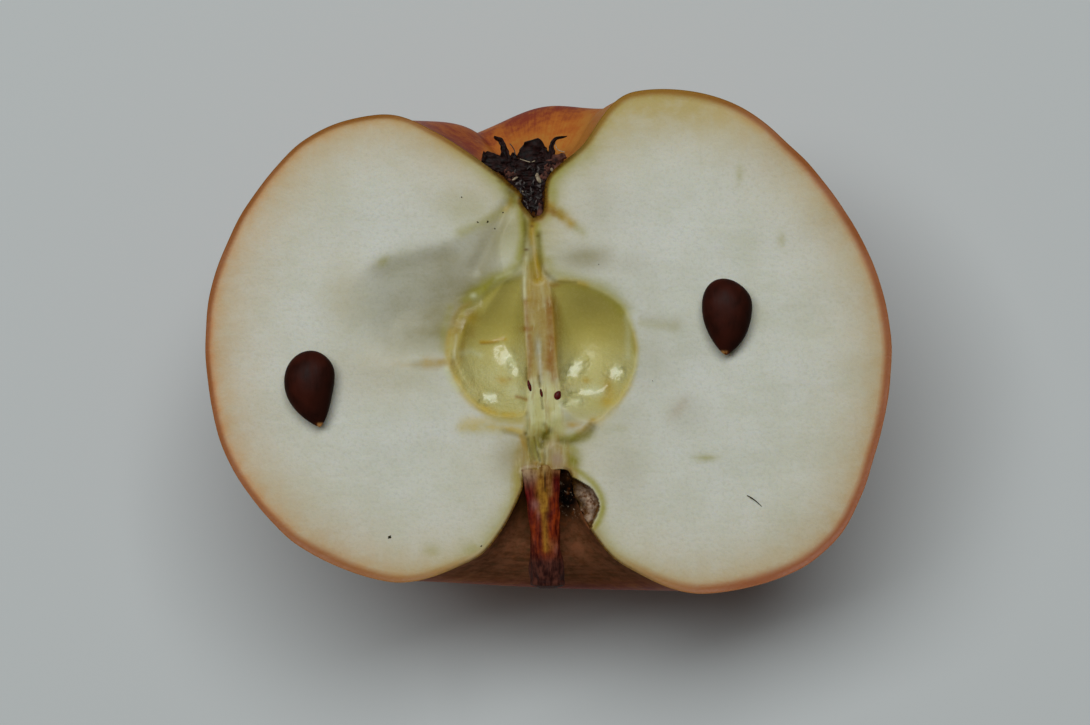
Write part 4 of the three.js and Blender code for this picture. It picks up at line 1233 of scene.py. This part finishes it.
def calyx_pieces():
    """The dried flower: a ragged plug of old stamens in its tube, the torn collar round it and its sepals."""
    dry = plain_material("calyx_dry", tone(16, 10, 9), tone(46, 32, 27), 0.6, 0.5, 0.16)
    piece = joined_piece("calyx_dried", [calyx_plug()] + [leaf(*sepal) for sepal in SEPALS], dry)
    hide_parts("calyx")

    lining = [leaf(*scale) for scale in LINING]
    lining.append(lump(-0.55, 15.0, -0.42, 0.35, 0.9, 0.25, -0.1, seed=54))
    red = plain_material("calyx_lining", tone(40, 24, 21), tone(92, 62, 54), 0.7, 0.9, 0.1)
    joined_piece("calyx_lining", lining, red)

    bits = [
        lump(-0.75, 18.65, -0.2, 0.22, 0.6, 0.12, 0.42, seed=61),
        lump(-3.35, 18.6, -0.22, 0.36, 0.12, 0.1, 0.5, seed=62),
        lump(0.75, 19.6, -0.3, 0.14, 0.2, 0.08, 0.2, seed=63),
        lump(-2.5, 17.15, -0.28, 0.12, 0.1, 0.08, seed=66),
        thread([(-2.8, 20.8, -0.5), (-2.2, 20.6, -0.45), (-1.6, 20.45, -0.45), (-1.1, 20.6, -0.5)], 14, 0.05),
        # A pale thread along the right hook's fold: painted highlight.
        thread([(1.15, 22.5, -1.0), (1.4, 21.9, -0.95), (2.2, 21.6, -0.9)], 14, 0.05),
    ]
    cream = plain_material("calyx_bits", tone(92, 82, 68), tone(156, 142, 120), 0.6, 0.4, 0.05)
    joined_piece("calyx_bits", bits, cream)

    threads = [thread([(-3.3, 21.3, -1.0), (-3.5, 22.0, -1.2), (-3.95, 22.6, -1.3)], 10, 0.06)]
    for number in range(THREADS):
        y = rng.uniform(15.2, 20.2)
        middle = np.interp(y, (15.0, 17.0, 19.0), (-1.2, -1.55, -1.9))
        x = middle + rng.uniform(-0.85, 0.85) * np.interp(y, (15.0, 17.0, 20.0), (0.7, 1.4, 2.4))
        long, thin = rng.uniform(0.12, 0.3), rng.uniform(0.06, 0.11)
        threads.append(lump(x, y, -rng.uniform(0.3, 0.5), thin, long, thin, rng.normal(0, 0.8), 0.4, number))
    grey = plain_material("calyx_threads", tone(18, 14, 13), tone(84, 78, 76), 0.35, 0.6, 0.05)
    joined_piece("calyx_stamens", threads, grey)


# ---------------------------------------------------------------- seeds

def seed_piece(name, x, y, nod, bend, material):
    """A loose seed. nod and bend say how far its round top and its foot lean to the right."""
    rows, columns = 64, 56
    theta, spin = ring_grid(rows, columns, math.pi)
    along = (1 - np.cos(theta)) / 2
    height = np.cos(theta) + 0 * spin
    girth = 2.32 * np.sqrt(along) * (1 - along) ** 0.75
    lean = np.where(height > 0, nod * height**2, bend * np.abs(height) ** 2.5)
    px = girth * np.cos(spin) * SEED["width"] / 2
    pz = girth * np.sin(spin) * SEED["thickness"] / 2
    py = height * SEED["length"] / 2
    wave = 1 + 0.022 * ripple(np.stack([px, py, pz], -1), 3.0, 61)
    points = np.stack([x + lean + px * wave, y + py, pz * wave + SEED["thickness"] / 2 + SEED["gap"]], -1)
    side = 1.0 if bend > 0 else -1.0
    tip = smooth(along, 0.93, 0.965) * smooth(side * px, -0.5, 0.2) + smooth(along, 0.975, 0.99)
    shady = smooth(px * 0.8 - py * 0.35, -0.2, 2.4) * 0.8
    masks = {"tip": tip, "shady": shady * (1 - tip)}
    faces = turned(grid_faces(rows, columns, wrap=True))
    piece = make_piece(name + "_coat", points.reshape(-1, 3), faces, [material], "seed", masks)
    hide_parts(name)


# ---------------------------------------------------------------- small things on the cut face

OVULES = [  # x, y, half width, half length, turn
    (-1.75, -4.55, 0.19, 0.65, 0.24), (-0.42, -5.35, 0.15, 0.48, 0.2), (1.4, -5.6, 0.38, 0.52, -0.45),
]
FIBRE = {"start": (22.5, -16.75, 0.0), "reach": (1.65, -1.25, 0.0), "bend": (0.05, 0.08, 0.1)}
SPECKS = [  # x, y, half size
    (-17.3, -21.4, 0.2), (-9.3, 16.5, 0.09), (-7.5, 13.7, 0.1), (-6.4, 13.75, 0.13), (-4.7, 14.8, 0.09),
    (-5.6, 13.0, 0.08), (-7.1, -22.4, 0.09), (6.0, 9.0, 0.06), (12.0, -4.0, 0.06),
]


def ground(x, y):
    """Height of the cut face at one place."""
    return relief(np.array([[x, y]]))[0][0]


def small_things():
    """The ovules in the core, a dark fibre and the specks on the flesh."""
    ovules = []
    for x, y, half_x, half_y, turn in OVULES:
        ovules.append(lump(x, y, ground(x, y) + 0.08, half_x, half_y, 0.2, turn, 0.06, 71))
    dark = plain_material("ovule", tone(52, 16, 12), tone(86, 32, 18), 0.45, 0.4, 0.03)
    joined_piece("ovules", ovules, dark, "seed")

    t = np.linspace(0, 1, 16)[:, None]
    path = FIBRE["start"] + t * FIBRE["reach"] + np.sin(math.pi * t) * FIBRE["bend"]
    parts = [tube(path, np.interp(t[:, 0], (0, 0.25, 1), (0.04, 0.075, 0.025)))]
    for x, y, half in SPECKS:
        turn, seed = rng.uniform(0, 3), int(rng.integers(1000))
        parts.append(lump(x, y, ground(x, y) + 0.02, half, half * 0.7, half * 0.5, turn, 0.3, seed))
    dirt = plain_material("specks", tone(34, 32, 20), tone(62, 58, 40), 0.7, 0.3, 0.02)
    joined_piece("specks", parts, dirt)


# ---------------------------------------------------------------- stage, light and camera

FLOOR_TONE = rgb(214, 219, 220)
CAMERA_ABOVE = 0.37  # metres over the cut face
CAMERA_ELEVATION = 89.0
VIEW_WIDTH = 0.1215  # metres seen across at the cut face
VIEW_CENTRE = (0.0, -1.95)  # mm, in the cut's frame
KEY_LIGHT = {"watts": 15.9, "size": (1.45, 0.5), "azimuth": 110, "elevation": 70.5, "distance": 1.5}
KEY_COLOUR = (0.97, 1.0, 1.0)
ROOM_COLOUR = (1.0, 0.92, 0.82, 1.0)
ROOM_STRENGTH = 0.058


def stage():
    half = 4.0
    corners = [(-half, -half, 0), (half, -half, 0), (half, half, 0), (-half, half, 0)]
    mesh = bpy.data.meshes.new("floor")
    mesh.from_pydata(corners, [], [(0, 1, 2, 3)])
    floor = bpy.data.objects.new("floor", mesh)
    bpy.context.scene.collection.objects.link(floor)
    p = Paint("floor_paper", Roughness=0.85, Specular_IOR_Level=0.2)
    p.set("Base Color", (*FLOOR_TONE, 1.0))
    mesh.materials.append(p.material)


def key_light():
    """One wide soft lamp, high above the top left of the picture."""
    data = bpy.data.lights.new("key", "AREA")
    data.shape = "RECTANGLE"
    data.size, data.size_y = KEY_LIGHT["size"]
    data.energy = KEY_LIGHT["watts"]
    data.color = KEY_COLOUR
    lamp = bpy.data.objects.new("key", data)
    a, e = math.radians(KEY_LIGHT["azimuth"]), math.radians(KEY_LIGHT["elevation"])
    target = Vector((0, 0, REST_HEIGHT / 1000))
    away = Vector((math.cos(e) * math.cos(a), math.cos(e) * math.sin(a), math.sin(e)))
    lamp.location = target + away * KEY_LIGHT["distance"]
    lamp.rotation_euler = away.to_track_quat("Z", "Y").to_euler()
    bpy.context.scene.collection.objects.link(lamp)


def room():
    """The dim light from all round."""
    world = bpy.data.worlds.new("studio")
    world.use_nodes = True
    background = world.node_tree.nodes["Background"]
    background.inputs["Color"].default_value = ROOM_COLOUR
    background.inputs["Strength"].default_value = ROOM_STRENGTH
    bpy.context.scene.world = world
    bpy.context.scene.view_settings.view_transform = "Standard"


def camera():
    data = bpy.data.cameras.new("camera")
    data.sensor_width = 36.0
    data.lens = data.sensor_width * CAMERA_ABOVE / VIEW_WIDTH
    data.clip_start = 0.01
    shot = bpy.data.objects.new("camera", data)
    target = Vector(to_row([VIEW_CENTRE[0], VIEW_CENTRE[1], 0.0]).tolist())
    tilt = math.radians(90 - CAMERA_ELEVATION)
    away = Vector((0, -math.sin(tilt), math.cos(tilt)))
    shot.location = target + away * CAMERA_ABOVE
    shot.rotation_euler = (tilt, 0, 0)
    bpy.context.scene.collection.objects.link(shot)
    bpy.context.scene.camera = shot


apple_body()
stalk_piece()
calyx_pieces()
coat = seed_material()
for spec in SEEDS:
    seed_piece(*spec, coat)
small_things()
stage()
key_light()
room()
camera()
